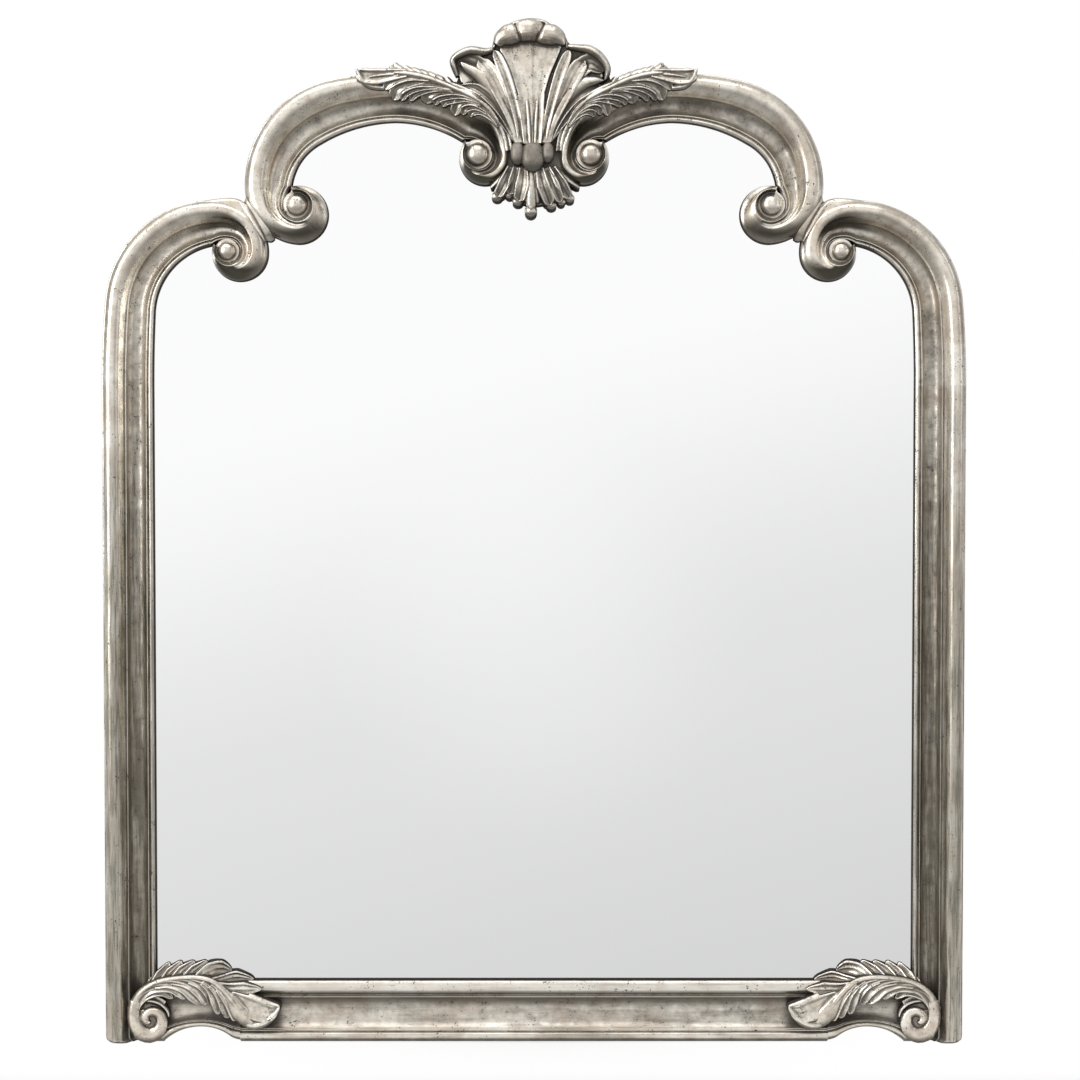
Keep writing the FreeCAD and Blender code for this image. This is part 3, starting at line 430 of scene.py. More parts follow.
def mouldingMesh(outer, inner, sections, blends, lifts=1.0):
    # blends: for each section a weight at every station
    top = sum(section[None] * weight[:, None, None] for section, weight in zip(sections, blends))
    shares, heights = top[:, :, 0], top[:, :, 1] * np.reshape(lifts, (-1, 1))
    rebate = rebateShare(outer, inner)[:, None]
    ones = np.ones_like(rebate)
    allShares = np.hstack([np.zeros_like(rebate), shares, ones, rebate, rebate])
    low = np.where(rebate < 0.999, glassRebate["depth"], 0.0)
    foot = np.where(rebate > 0.001, 0.0, glassRebate["depth"])
    allHeights = np.hstack([foot, heights, low, low, foot])
    x = mix(outer[:, 0:1], inner[:, 0:1], allShares)
    z = mix(outer[:, 1:2], inner[:, 1:2], allShares)
    corners = np.stack([x, -allHeights, z], axis=2).reshape(-1, 3)
    return corners, gridFaces(len(outer), allShares.shape[1])


def mirrored(corners, faces):
    flipped = np.asarray(corners) * (-1.0, 1.0, 1.0)
    return flipped, [tuple(reversed(face)) for face in faces]


def domeGrid(centre, levels, sides=40):
    # rings about an axis that points forwards: (radius, height)
    rows = []
    for radius, height in levels:
        ring = arcAbout(centre, radius, 0.0, 360.0, sides)[:-1]
        rows.append(np.column_stack([ring[:, 0], np.full(sides, -height), ring[:, 1]]))
    return np.vstack(rows), gridFaces(len(levels), sides)


def combined(*parts):
    corners, faces, offset = [], [], 0
    for partCorners, partFaces in parts:
        corners.append(partCorners)
        faces += [tuple(i + offset for i in face) for face in partFaces]
        offset += len(partCorners)
    return np.vstack(corners), faces


# How far each place lies in a hollow or on an edge, at two or three scales
# these feed the wax and the rubbing, and the painted shade and highlights of the leaf
wearSteps = {"fine": 6, "broad": 60, "wide": 260}  # rounds of smoothing that show hollows of each size
wearKeep = 0.35  # how much of its place a point keeps in each round


def markWearAndShade(piece, broadScale, fineScale, wideScale=0.0):
    mesh = piece.data
    count = len(mesh.vertices)
    places = np.empty(count * 3)
    mesh.vertices.foreach_get("co", places)
    places = places.reshape(-1, 3) / mm
    normals = np.empty(count * 3)
    mesh.vertex_normals.foreach_get("vector", normals)
    normals = normals.reshape(-1, 3)
    ends = np.empty(len(mesh.edges) * 2, int)
    mesh.edges.foreach_get("vertices", ends)
    a, b = np.concatenate([ends[0::2], ends[1::2]]), np.concatenate([ends[1::2], ends[0::2]])
    span = np.linalg.norm(places[a] - places[b], axis=1)
    weight = 1.0 / np.maximum(span, 0.15)
    total = np.maximum(np.bincount(a, weight, count), 1e-6)
    moved, results = places.copy(), {}
    scales = {"fine": fineScale, "broad": broadScale, "wide": wideScale}
    marks = {wearSteps[name]: (name, scale) for name, scale in scales.items() if scale}
    for step in range(1, max(marks) + 1):
        average = np.stack([np.bincount(a, weight * moved[b, axis], count) for axis in range(3)], axis=1)
        moved = moved * wearKeep + average / total[:, None] * (1.0 - wearKeep)
        if step in marks:
            results[marks[step]] = np.einsum("ij,ij->i", moved - places, normals)
    # the ends of a moulding take the values beside them
    atEnd = np.zeros(count, bool)
    for face in mesh.polygons:
        if len(face.vertices) > 12:
            atEnd[list(face.vertices)] = True
    beside = atEnd[a] & ~atEnd[b]
    shares = np.maximum(np.bincount(a[beside], minlength=count), 1)
    for (name, scale), result in results.items():
        values = np.clip(result / scale, -1.0, 1.0)
        if atEnd.any():
            values[atEnd] = (np.bincount(a[beside], values[b[beside]], count) / shares)[atEnd]
        sides = {"hollow": values, "edge": -values} if name == "fine" else {"hollow": values}
        for side, amount in sides.items():
            layer = mesh.attributes.new(name + "_" + side, "FLOAT", "POINT")
            layer.data.foreach_set("value", np.maximum(amount, 0.0).astype(np.float32))


volutes = {  # eye in the frame, its radius, and the radius of the groove round it
    "shoulder": ((-379.2, 986.4), 10.8, 13.4),
    "foot": ((-292.8, 1043.4), 13.0, 15.4),
    "crest": ((-70.0, 1105.2), 14.0, 16.4),
}

# Silver leaf over brown ground, toned and rubbed
leafLook = {
    "leaf": (0.92, 0.87, 0.775),
    "warm": (0.68, 0.595, 0.50),
    "toned_and_low_shade": (0.225, 0.205, 0.16),
    # dark wax in the hollows, also used for painted shade
    "hollow": (0.048, 0.037, 0.027),
    "rubbed": (0.25, 0.15, 0.11),
    # painted shade on faces that turn downwards
    "under": (0.060, 0.055, 0.042),
    # burnished edges, partly a painted highlight
    "burnished_highlight": (0.95, 0.92, 0.865),
    "speck": (0.05, 0.042, 0.033),
    # bare ground on backs and low sides, also painted shadow on walls
    "back": (0.030, 0.024, 0.019),
    "roughness": 0.27,
    # painted shade heavier on the right, and how far wax and painted shade cover the hollows
    "rightShade": 0.7,
    "waxAndShadeCover": 0.92,
    "rubCover": 0.6,
    "cornerReach": 0.018,  # metres round a place that count as its corner, for the painted corner shade
    "cornerShade": 0.55,
}


def nearEyes(tree, x, z):
    # 1 on the volutes round their eyes, where the painted underside shade is heavier, 0 elsewhere, on both sides of the
    # frame
    flat = addNode(tree, "ShaderNodeCombineXYZ", {0: mathNode(tree, "ABSOLUTE", x), 2: z}).outputs[0]
    near = 0.0
    for volute in volutes.values():
        centre = (-volute[0][0] * mm, 0.0, volute[0][1] * mm)
        away = addNode(tree, "ShaderNodeVectorMath", {0: flat, 1: centre}, operation="DISTANCE").outputs["Value"]
        edge = times(tree, rampNode(tree, away, 0.058, 0.036), rampNode(tree, away, 0.011, 0.017))
        near = mathNode(tree, "MAXIMUM", near, edge)
    return near


def silverLeaf(name, along, darker=0.0, wallShade=0.0, footShade=0.0, bent=False):
    # along: stretch of the brush marks and cracks, small along the moulding and large across it
    material, tree, shader = newMaterial(name)
    place = ownPlace(tree)
    fineHollow, broadHollow, wideHollow, fineEdge = (
        addNode(tree, "ShaderNodeAttribute", attribute_name=layer).outputs["Fac"]
        for layer in ("fine_hollow", "broad_hollow", "wide_hollow", "fine_edge")
    )
    x, y, z = axes(tree, place)
    clouds = noiseNode(tree, place, 22.0, 4.0, 0.6, 0.4)
    patches = noiseNode(tree, place, 70.0, 5.0, 0.65, 0.3)
    grit = noiseNode(tree, place, 420.0, 4.0, 0.6)
    brush = noiseNode(tree, stretched(tree, place, along), 90.0, 5.0, 0.65)
    streaks = noiseNode(tree, stretched(tree, place, tuple(value**1.4 for value in along)), 520.0, 3.0, 0.6)

    tone = mixColour(tree, rampNode(tree, clouds, 0.35, 0.68), leafLook["leaf"], leafLook["warm"])
    # painted shade: darker towards the bottom, as if the light from above falls off, on top of the toning by the brush
    # marks; the streak lines grow stronger there too
    foot = times(tree, rampNode(tree, z, 0.95, 0.45), footShade)
    washAndLowShade = plus(tree, times(tree, rampNode(tree, brush, 0.42, 0.68), 0.30 if bent else 0.50), foot)
    lines = times(tree, rampNode(tree, streaks, 0.50, 0.66), plus(tree, times(tree, foot, 0.9), 0.12))
    tone = mixColour(tree, plus(tree, washAndLowShade, lines, clamp=True), tone, leafLook["toned_and_low_shade"])

    # dark wax in the hollows together with painted shade: shade under lips from the wide hollows, ambient occlusion in
    # corners and between parts, and more darkening on the right
    right = plus(tree, times(tree, rampNode(tree, x, -0.3, 0.35), leafLook["rightShade"]), 0.8)
    depth = plus(tree, times(tree, fineHollow, 0.9), times(tree, broadHollow, right))
    depth = plus(tree, depth, times(tree, wideHollow, 0.5))
    corner = addNode(tree, "ShaderNodeAmbientOcclusion", {"Distance": leafLook["cornerReach"]}, samples=4).outputs["AO"]
    depth = plus(tree, depth, times(tree, rampNode(tree, corner, 0.80, 0.35), leafLook["cornerShade"]))
    depth = plus(tree, depth, times(tree, mathNode(tree, "SUBTRACT", patches, 0.5), 0.45 if wallShade else 0.7))
    # darker adds painted shade to the hollows, or painted light below 0
    hollow = plus(tree, rampNode(tree, depth, 0.06, 0.70 if wallShade else 0.85), darker, clamp=True)
    tone = mixColour(tree, times(tree, hollow, leafLook["waxAndShadeCover"]), tone, leafLook["hollow"])

    # burnished edges, partly real burnish and partly a painted highlight
    tone = mixColour(tree, times(tree, rampNode(tree, fineEdge, 0.10, 0.6), 0.75 if wallShade else 0.35),
        tone, leafLook["burnished_highlight"])
    rub = times(tree, rampNode(tree, fineEdge, 0.45, 0.95), rampNode(tree, patches, 0.52, 0.64))
    tone = mixColour(tree, times(tree, rub, leafLook["rubCover"]), tone, leafLook["rubbed"])
    faceY, faceZ = axes(tree, addNode(tree, "ShaderNodeNewGeometry").outputs["Normal"])[1:]
    # painted shade: faces that turn downwards get darker, more so on the volutes round their eyes
    under = rampNode(tree, times(tree, faceZ, -1.0), 0.02, 0.52)
    share = plus(tree, times(tree, nearEyes(tree, x, z), 0.47), 0.52) if bent else 0.80
    tone = mixColour(tree, times(tree, under, share), tone, leafLook["under"])

    specks = rampNode(tree, times(tree, grit, plus(tree, patches, 0.52)), 0.66, 0.72)
    cracks = times(tree, rampNode(tree, streaks, 0.68, 0.74), rampNode(tree, clouds, 0.40, 0.56))
    marks = mathNode(tree, "MAXIMUM", specks, times(tree, cracks, 0.75), clamp=True)
    tone = mixColour(tree, marks, tone, leafLook["speck"])
    # bare ground on the back and on low sides, and painted shade: the low wall by the glass and, with wallShade, the
    # side walls of carvings go dark as if in shadow
    turned = (0.16, 0.56) if wallShade else (0.12, 0.45)
    wall = mathNode(tree, "SUBTRACT", 1.0, rampNode(tree, mathNode(tree, "ABSOLUTE", faceY), *turned))
    low = mathNode(tree, "MAXIMUM", times(tree, wall, rampNode(tree, y, -0.028, -0.021)),
        rampNode(tree, y, -0.015, -0.012))
    low = mathNode(tree, "MAXIMUM", low, times(tree, wall, wallShade))
    bareAndWallShade = mathNode(tree, "MAXIMUM", low, rampNode(tree, faceY, 0.1, 0.5), clamp=True)
    tone = mixColour(tree, bareAndWallShade, tone, leafLook["back"])
    tree.links.new(tone, shader.inputs["Base Color"])

    dull = plus(tree, times(tree, hollow, 0.26), times(tree, marks, 0.25))
    dull = plus(tree, dull, times(tree, patches, 0.22))
    dull = plus(tree, dull, times(tree, bareAndWallShade, 0.45))
    tree.links.new(plus(tree, dull, leafLook["roughness"] - 0.08), shader.inputs["Roughness"])
    plain = mathNode(tree, "MAXIMUM", times(tree, mathNode(tree, "MAXIMUM", hollow, marks), 0.45), bareAndWallShade)
    tree.links.new(mathNode(tree, "SUBTRACT", 1.0, plain), shader.inputs["Metallic"])
    tree.links.new(mathNode(tree, "SUBTRACT", 0.5, times(tree, bareAndWallShade, 0.42)), shader.inputs["Specular IOR Level"])

    relief = plus(tree, times(tree, brush, 0.5), times(tree, grit, 0.22))
    relief = mathNode(tree, "SUBTRACT", relief, times(tree, marks, 0.25))
    bump = addNode(tree, "ShaderNodeBump", {"Height": relief, "Strength": 0.35, "Distance": 0.0008})
    tree.links.new(bump.outputs["Normal"], shader.inputs["Normal"])
    return material


# shaded and lit copies of one leaf: darker adds painted shade to the hollows of the recess, shaded, level and carved
# copies, and the bright copy, below 0, is lit with painted light
leafUpright = silverLeaf("silver_leaf_upright", (1.0, 1.0, 0.10), footShade=0.55)
leafDark = silverLeaf("silver_leaf_recess", (1.0, 1.0, 1.0), 0.85)
leafShaded = silverLeaf("silver_leaf_shaded", (1.0, 1.0, 1.0), 0.74, 0.9)
leafLevel = silverLeaf("silver_leaf_level", (0.10, 1.0, 1.0), 0.13)
leafBent = silverLeaf("silver_leaf_bent", (1.0, 1.0, 1.0), bent=True)
leafCarved = silverLeaf("silver_leaf_carved", (1.0, 1.0, 1.0), 0.05, 0.95)
leafBright = silverLeaf("silver_leaf_bright", (1.0, 1.0, 1.0), -0.28, 0.95)


def simpleMaterial(name, first, second, scale, roughness, metallic=0.0, stretch=(1.0, 1.0, 1.0), bumpDepth=0.0003):
    material, tree, shader = newMaterial(name)
    place = ownPlace(tree)
    pattern = noiseNode(tree, stretched(tree, place, stretch), scale, 6.0, 0.6, 0.4)
    tree.links.new(mixColour(tree, rampNode(tree, pattern, 0.3, 0.7), first, second), shader.inputs["Base Color"])
    shade = plus(tree, times(tree, pattern, 0.25), roughness - 0.12)
    tree.links.new(shade, shader.inputs["Roughness"])
    shader.inputs["Metallic"].default_value = metallic
    bump = addNode(tree, "ShaderNodeBump", {"Height": pattern, "Strength": 0.5, "Distance": bumpDepth})
    tree.links.new(bump.outputs["Normal"], shader.inputs["Normal"])
    return material


hardboard = simpleMaterial("hardboard", (0.23, 0.13, 0.07), (0.32, 0.19, 0.105), 240.0, 0.7)
bareWood = simpleMaterial("bare_wood", (0.42, 0.27, 0.15), (0.56, 0.38, 0.22), 90.0, 0.6, stretch=(1.0, 1.0, 0.08))
steel = simpleMaterial("zinc_steel", (0.36, 0.37, 0.385), (0.52, 0.53, 0.545), 160.0, 0.36, 1.0)
screwSteel = simpleMaterial("screw_steel", (0.30, 0.27, 0.21), (0.46, 0.41, 0.31), 300.0, 0.42, 1.0)
rubber = simpleMaterial("rubber_pad", (0.03, 0.03, 0.032), (0.055, 0.055, 0.058), 300.0, 0.75)


def mirrorPlate():
    material, tree, shader = newMaterial("mirror_plate")
    place = ownPlace(tree)
    haze = noiseNode(tree, place, 3.0, 2.0)
    tree.links.new(mixColour(tree, haze, (0.955, 0.96, 0.96), (0.97, 0.97, 0.97)), shader.inputs["Base Color"])
    shader.inputs["Metallic"].default_value = 1.0
    shader.inputs["Roughness"].default_value = 0.012
    return material


mirrorGlass = mirrorPlate()


def dress(node, material):
    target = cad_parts[node]
    if not target.material_slots:
        target.data.materials.append(material)
    for place in target.material_slots:
        place.material = material


def settle(piece, node):
    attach(piece, "frame")
    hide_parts(node)


def leafPiece(name, geometry, node, material, broadScale, fineScale=1.7):
    piece = meshObject(name, *geometry)
    piece.data.materials.append(material)
    settle(piece, node)
    markWearAndShade(piece, broadScale, fineScale)


print("finishes ready")

# Mouldings of the frame


def stileGeometry():
    low = [0.0, 0.15, 0.6, 1.4, 2.6, 4.2, 6.3]
    heights = np.array(low + list(np.linspace(stile["cornerRound"], stile["top"], int(stile["top"] / stile["step"]))))
    radius = stile["cornerRound"]
    inset = np.where(heights < radius, radius - np.sqrt(np.maximum(radius**2 - (radius - heights) ** 2, 0.0)), 0.0)
    outer = np.column_stack([-stile["half"] + inset, heights])
    inner = np.column_stack([np.full(len(heights), stile["width"] - stile["half"]), heights])
    lowEdge = 1.0 - 0.20 * np.clip(1.0 - heights / 4.2, 0.0, 1.0) ** 2
    return mouldingMesh(outer, inner, [stileSection], [np.ones(len(heights))], lowEdge)


def shoulderGeometry():
    n = fineness
    outer = chain((-stile["half"], stile["top"]), 90.0, [
        (1163.0, -5.2, n), (136.0, -84.8, 6 * n), (66.0, -42.0, 2 * n), (62.0, -53.0, 3 * n), (34.6, -196.0, 8 * n)])
    lip = chain((-rail["half"], stile["top"]), 90.0, [(1818.0, -2.9, n), (88.0, -77.2, 6 * n)])
    eyeAt, ball, groove = volutes["shoulder"]
    toEye = bend(lip[-1], (eyeAt[0], eyeAt[1] + groove), -42.0, 2 * n)
    inner = joined(lip, toEye, arcAbout(eyeAt, groove, 90.0, -202.0, 11 * n))
    volute = shareMarks(0.0, (6 * n, 0.0), (3 * n, 0.22), (3 * n, 0.62), (3 * n, 1.0), (5 * n, 1.0))
    soft = shareMarks(0.0, (n, 0.15), (4 * n, 1.0), (15 * n, 1.0))
    blends = [(1.0 - volute) * (1.0 - soft), (1.0 - volute) * soft, volute]
    moulding = mouldingMesh(outer, inner, [stileSection, bendSection, voluteSection], blends)
    return combined(moulding, eyeGeometry(eyeAt, ball))


def archGeometry():
    n = fineness
    (footEye, footBall, footGroove), (crestEye, crestBall, crestGroove) = volutes["foot"], volutes["crest"]
    outer = chain((-300.5, 1067.0), 15.0, [
        (36.4, -200.0, 8 * n), (69.0, -50.0, 2 * n), (71.0, -35.0, 2 * n), (134.0, -79.0, 5 * n), (440.0, -11.0, n),
        (160.0, -40.0, 3 * n), (89.5, -25.0, 2 * n), (89.5, -25.0, 2 * n), (31.0, -150.0, 7 * n), (36.0, -68.0, 3 * n)])
    footNotch, haunch, crown, crestNotch = (-300.8, 1067.2), (-264.1, 1120.6), (-171.1, 1147.0), (-89.3, 1122.6)
    inner = joined(
        arcAbout(footEye, footGroove, 108.0, -185.0, 10 * n),
        bend((footEye[0] - footGroove, footEye[1] + 1.3), footNotch, -30.0, 2 * n),
        bend(footNotch, haunch, -55.0, 4 * n),
        bend(haunch, crown, -30.0, 2 * n),
        bend(crown, crestNotch, -31.3, 3 * n),
        bend(crestNotch, (crestEye[0], crestEye[1] + crestGroove), -40.0, 2 * n),
        arcAbout(crestEye, crestGroove, 90.0, -219.0, 12 * n),
    )
    volute = shareMarks(1.0, (6 * n, 1.0), (3 * n, 0.7), (3 * n, 0.2), (2 * n, 0.0), (9 * n, 0.0), (2 * n, 0.1),
        (3 * n, 0.45), (3 * n, 1.0), (4 * n, 1.0))
    moulding = mouldingMesh(outer, inner, [bendSection, voluteSection], [1.0 - volute, volute])
    return combined(moulding, eyeGeometry(footEye, footBall), eyeGeometry(crestEye, crestBall))


def eyeGeometry(centre, radius):
    # the ball in the middle of a volute
    dome = [(radius + 4.0, 12.0), (radius + 4.0, 32.0), (radius + 1.2, 32.2), (radius + 0.4, 32.8)]
    dome += [(radius * math.cos(a), 33.5 + 0.86 * radius * math.sin(a))
             for a in np.radians((3, 10, 20, 30, 42, 54, 66, 76, 84, 88))]
    return domeGrid(centre, dome)


def webSolids():
    # between the shoulder's volute and the foot of the arch: a fillet of wood with a soft crease
    fillet = [(-406.0, 1039.5, 35.5), (-386.0, 1040.5, 37.0), (-368.0, 1039.5, 37.0), (-355.0, 1028.0, 37.0),
        (-345.0, 1012.0, 36.5), (-339.0, 1001.0, 34.0)]
    fill = [(-353.0, 1055.0, 26.0), (-349.0, 1043.0, 34.0), (-340.5, 1027.0, 35.5), (-333.0, 1012.0, 33.5),
        (-327.5, 1005.0, 28.5), (-322.0, 1001.5, 17.0)]
    crease = [(-365.0, 1047.0, 36.0), (-355.0, 1037.0, 38.0), (-346.0, 1022.0, 38.5), (-337.0, 1006.0, 37.5),
        (-333.0, 998.0, 34.0)]
    return [
        stroke("roll", fillet, (9.0, 10.5, 11.0, 10.5, 9.0, 5.0), 5.0, 10.0),
        stroke("roll", fill, (4.0, 10.0, 11.0, 10.0, 7.0, 3.5), 4.0, 10.0),
        stroke("ridge", crease, (1.4, 2.6, 2.8, 2.4, 1.6), 2.0, 10.0)]


def railGeometry():
    rise = chain((-463.0, 1.0), 42.0, [(70.0, -42.0, 24), (58.0, -38.0, 22), (22.0, 38.0, 14)])
    left = np.vstack([[(-rail["half"], 0.0), (-463.4, 0.0)], rise[:-1], [(rise[-1][0], 0.0)]])
    middle = np.linspace(left[-1][0], -left[-1][0], int(-2.0 * left[-1][0] / rail["step"]))[1:-1]
    lift = np.vstack([left, np.column_stack([middle, np.zeros(len(middle))]), left[::-1] * (-1.0, 1.0)])
    # the cut-outs move the roll, and the cove less and less
    shares, x, up = railSection, lift[:, 0:1], lift[:, 1:2]
    ease = np.clip(1.0 - shares[:, 0] / 0.62, 0.0, 1.0) ** 1.3
    z = shares[:, 0][None] * rail["height"] + up * ease[None]
    h = np.repeat(shares[:, 1][None], len(x), axis=0)
    one, columns = np.ones_like(x), len(shares) + 4
    top, foot, deep = rail["height"] * one, (rail["height"] - glassRebate["lap"]) * one, glassRebate["depth"] * one
    allZ = np.hstack([up, z, top, foot, foot])
    allH = np.hstack([0.0 * one, h, deep, deep, 0.0 * one])
    corners = np.stack([np.repeat(x, columns, axis=1), -allH, allZ], axis=2).reshape(-1, 3)
    return corners, gridFaces(len(x), columns)


# Carving: strokes of the gouge, drawn on a grid that is laid over each ornament


def smoothPath(marks, steps):
    # a smooth line through marks of any number of values
    marks = np.asarray(marks, float)
    padded = np.vstack([2.0 * marks[0] - marks[1], marks, 2.0 * marks[-1] - marks[-2]])
    spans = len(marks) - 1
    t = np.linspace(0.0, spans - 1e-9, steps)
    k = np.floor(t).astype(int)
    f = (t - k)[:, None]
    a, b, c, d = (padded[k + i] for i in range(4))
    return 0.5 * (2.0 * b + (c - a) * f + (2.0 * a - 5.0 * b + 4.0 * c - d) * f**2 + (3.0 * b - a - 3.0 * c + d) * f**3)


def evenShape(*half):
    # from one edge to the middle, and the same on to the other edge
    return [*half, *((-across, height) for across, height in half[-2::-1])]


sectionShapes = {  # place across, -1 to 1, and height as a share of the stroke's depth
    "ridge": evenShape((-1.0, -1.1), (-0.86, -0.72), (-0.62, -0.34), (-0.3, -0.08), (0.0, 0.0)),
    "roll": evenShape((-1.0, -1.0), (-0.97, -0.76), (-0.9, -0.55), (-0.78, -0.36), (-0.6, -0.2), (-0.3, -0.05),
        (0.0, 0.0)),
    "trough": evenShape((-1.0, 0.1), (-0.93, 0.75), (-0.82, 1.0), (-0.7, 0.86), (-0.45, 0.32), (0.0, 0.0)),
    "veined": evenShape((-1.0, 0.1), (-0.93, 0.75), (-0.82, 1.0), (-0.7, 0.86), (-0.38, 0.1), (-0.16, 0.3),
        (0.0, 0.62)),
    "fan": [
        (-1.0, 0.2), (-0.985, 1.0), (-0.94, 1.1), (-0.86, 0.72), (-0.72, 0.25), (-0.55, -0.02), (-0.45, 0.06),
        (-0.38, 0.02), (-0.25, -0.2), (-0.1, -0.22), (-0.04, 0.02), (0.0, 0.12), (0.05, 0.0), (0.18, -0.12),
        (0.35, -0.05), (0.5, 0.12), (0.58, 0.08), (0.72, 0.3), (0.86, 0.8), (0.94, 1.1), (0.985, 1.0), (1.0, 0.2)],
}


def stroke(kind, path, widths, depth, base, steps=34, roundEnd=0.12):
    line = smoothPath(path, steps)
    ahead = np.gradient(line[:, :2], axis=0)
    ahead /= np.maximum(np.linalg.norm(ahead, axis=1)[:, None], 1e-6)
    across = np.column_stack([-ahead[:, 1], ahead[:, 0]])
    t = np.linspace(0.0, 1.0, steps)
    halfWidth = np.interp(t, np.linspace(0.0, 1.0, len(widths)), widths)
    end = np.clip((1.0 - t) / roundEnd, 0.0, 1.0)
    halfWidth = halfWidth * np.sqrt(np.maximum(1.0 - (1.0 - end) ** 2, 0.02))
    shape = np.array(sectionShapes[kind])
    scale = np.minimum(1.0, halfWidth / max(widths) + 0.25)
    rows = []
    for i in range(steps):
        heights = line[i, 2] + shape[:, 1] * depth * scale[i]
        low = min(base, heights.min() - 0.5)
        u = np.concatenate([[-1.0], shape[:, 0], [1.0]]) * halfWidth[i]
        h = np.concatenate([[low], heights, [low]])
        rows.append(np.column_stack([line[i, 0] + across[i, 0] * u, -h, line[i, 1] + across[i, 1] * u]))
    return np.vstack(rows), gridFaces(steps, len(shape) + 2)


def slabOf(outline, base, top):
    outline = np.asarray(outline, float)
    count = len(outline)
    corners = np.vstack([np.column_stack([outline[:, 0], np.full(count, -h), outline[:, 1]]) for h in (base, top)])
    return corners, gridFaces(2, count)


def onGrid(drawing, points):
    # from the drawing's grid to millimetres in the frame
    points = np.asarray(points, float).copy()
    points[:, 0] = drawing["left"] + drawing["unit"] * points[:, 0]
    points[:, 1] = drawing["top"] - drawing["unit"] * points[:, 1]
    return points


def drawnSolids(drawing):
    solids = [slabOf(onGrid(drawing, outline), base, top) for outline, base, top in drawing["beds"]]
    for kind, path, widths, depth, *base in drawing["strokes"]:
        solids.append(stroke(kind, onGrid(drawing, path), widths, depth, base[0] if base else drawing["base"]))
    return solids


def ovalRing(centre, radii, boxy, sides=40):
    # an oval, fuller in its corners where boxy is less than 1
    angles = np.linspace(0.0, 2.0 * math.pi, sides + 1)[:-1]
    waves = np.column_stack([np.cos(angles), np.sin(angles)])
    return np.asarray(centre) + np.asarray(radii) * np.sign(waves) * np.abs(waves) ** boxy


def lobe(centre, radii, forward, base, boxy, levels=16):
    # a bulge: half an egg that leans forwards
    rows = []
    for angle in np.radians(np.linspace(0.0, 90.0, levels)):
        ring = ovalRing(centre, radii * max(math.cos(angle), 0.0) ** boxy, boxy)
        height = base + forward * math.sin(angle) ** boxy
        rows.append(np.column_stack([ring[:, 0], np.full(len(ring), -height), ring[:, 1]]))
    return np.vstack(rows), gridFaces(levels, len(ring))


def lobesOn(drawing, lobes, boxy):
    # lobes: place and half sizes in grid units, how far forward, height of their foot
    solids = []
    for place, halfSizes, forward, base in lobes:
        centre, radii = onGrid(drawing, [place])[0], np.array(halfSizes) * drawing["unit"]
        foot = slabOf(ovalRing(centre, 0.98 * radii, boxy), drawing["base"], base + 0.4)
        solids += [lobe(centre, radii, forward, base, boxy), foot]
    return solids


carving = {"voxel": 0.7, "quickVoxel": 1.1, "broadHollow": 1.8, "fineHollow": 0.38, "wideHollow": 5.0}  # millimetres


def carvedPiece(name, node, solids, soften=2, finish=leafCarved):
    piece = meshObject(name, *combined(*solids))
    remesh = piece.modifiers.new("one_solid", "REMESH")
    remesh.mode = "VOXEL"
    remesh.voxel_size = carving["voxel"] * mm
    smooth = piece.modifiers.new("soften", "SMOOTH")
    smooth.factor, smooth.iterations = 0.5, soften
    graph = bpy.context.evaluated_depsgraph_get()
    piece.data = bpy.data.meshes.new_from_object(piece.evaluated_get(graph))
    piece.modifiers.clear()
    piece.data.materials.clear()
    piece.data.materials.append(finish)
    piece.data.shade_smooth()
    markWearAndShade(piece, carving["broadHollow"], carving["fineHollow"], carving["wideHollow"])
    settle(piece, node)
    return piece


def stretchPiece(piece, share, fromX):
    # longer or shorter sideways, from the line x = fromX in millimetres
    hold = Matrix.Translation((fromX * mm, 0.0, 0.0))
    piece.data.transform(hold @ Matrix.Scale(share, 4, (1.0, 0.0, 0.0)) @ hold.inverted())


def mirroredPiece(piece, name, node):
    other = bpy.data.objects.new(name, piece.data.copy())
    other.data.transform(Matrix.Scale(-1.0, 4, (1.0, 0.0, 0.0)))
    other.data.flip_normals()
    bpy.context.scene.collection.objects.link(other)
    settle(other, node)
    return other


members = {  # mesh, finish, depth in millimetres of a hollow that is fully darkened by wax and painted shade
    "stile": (stileGeometry(), leafUpright, 26.0),
    "shoulder": (shoulderGeometry(), leafBent, 20.0),
    "arch": (archGeometry(), leafBent, 13.0),
}
for label, (geometry, finish, scale) in members.items():
    leafPiece("left_%s_carving" % label, geometry, "left_" + label, finish, scale)
    leafPiece("right_%s_carving" % label, mirrored(*geometry), "right_" + label, finish, scale)
web = carvedPiece("left_web_carving", "left_shoulder", webSolids(), soften=10, finish=leafBent)
mirroredPiece(web, "right_web_carving", "right_shoulder")
leafPiece("bottom_rail_carving", railGeometry(), "bottom_rail", leafLevel, 18.0)
print("mouldings ready")

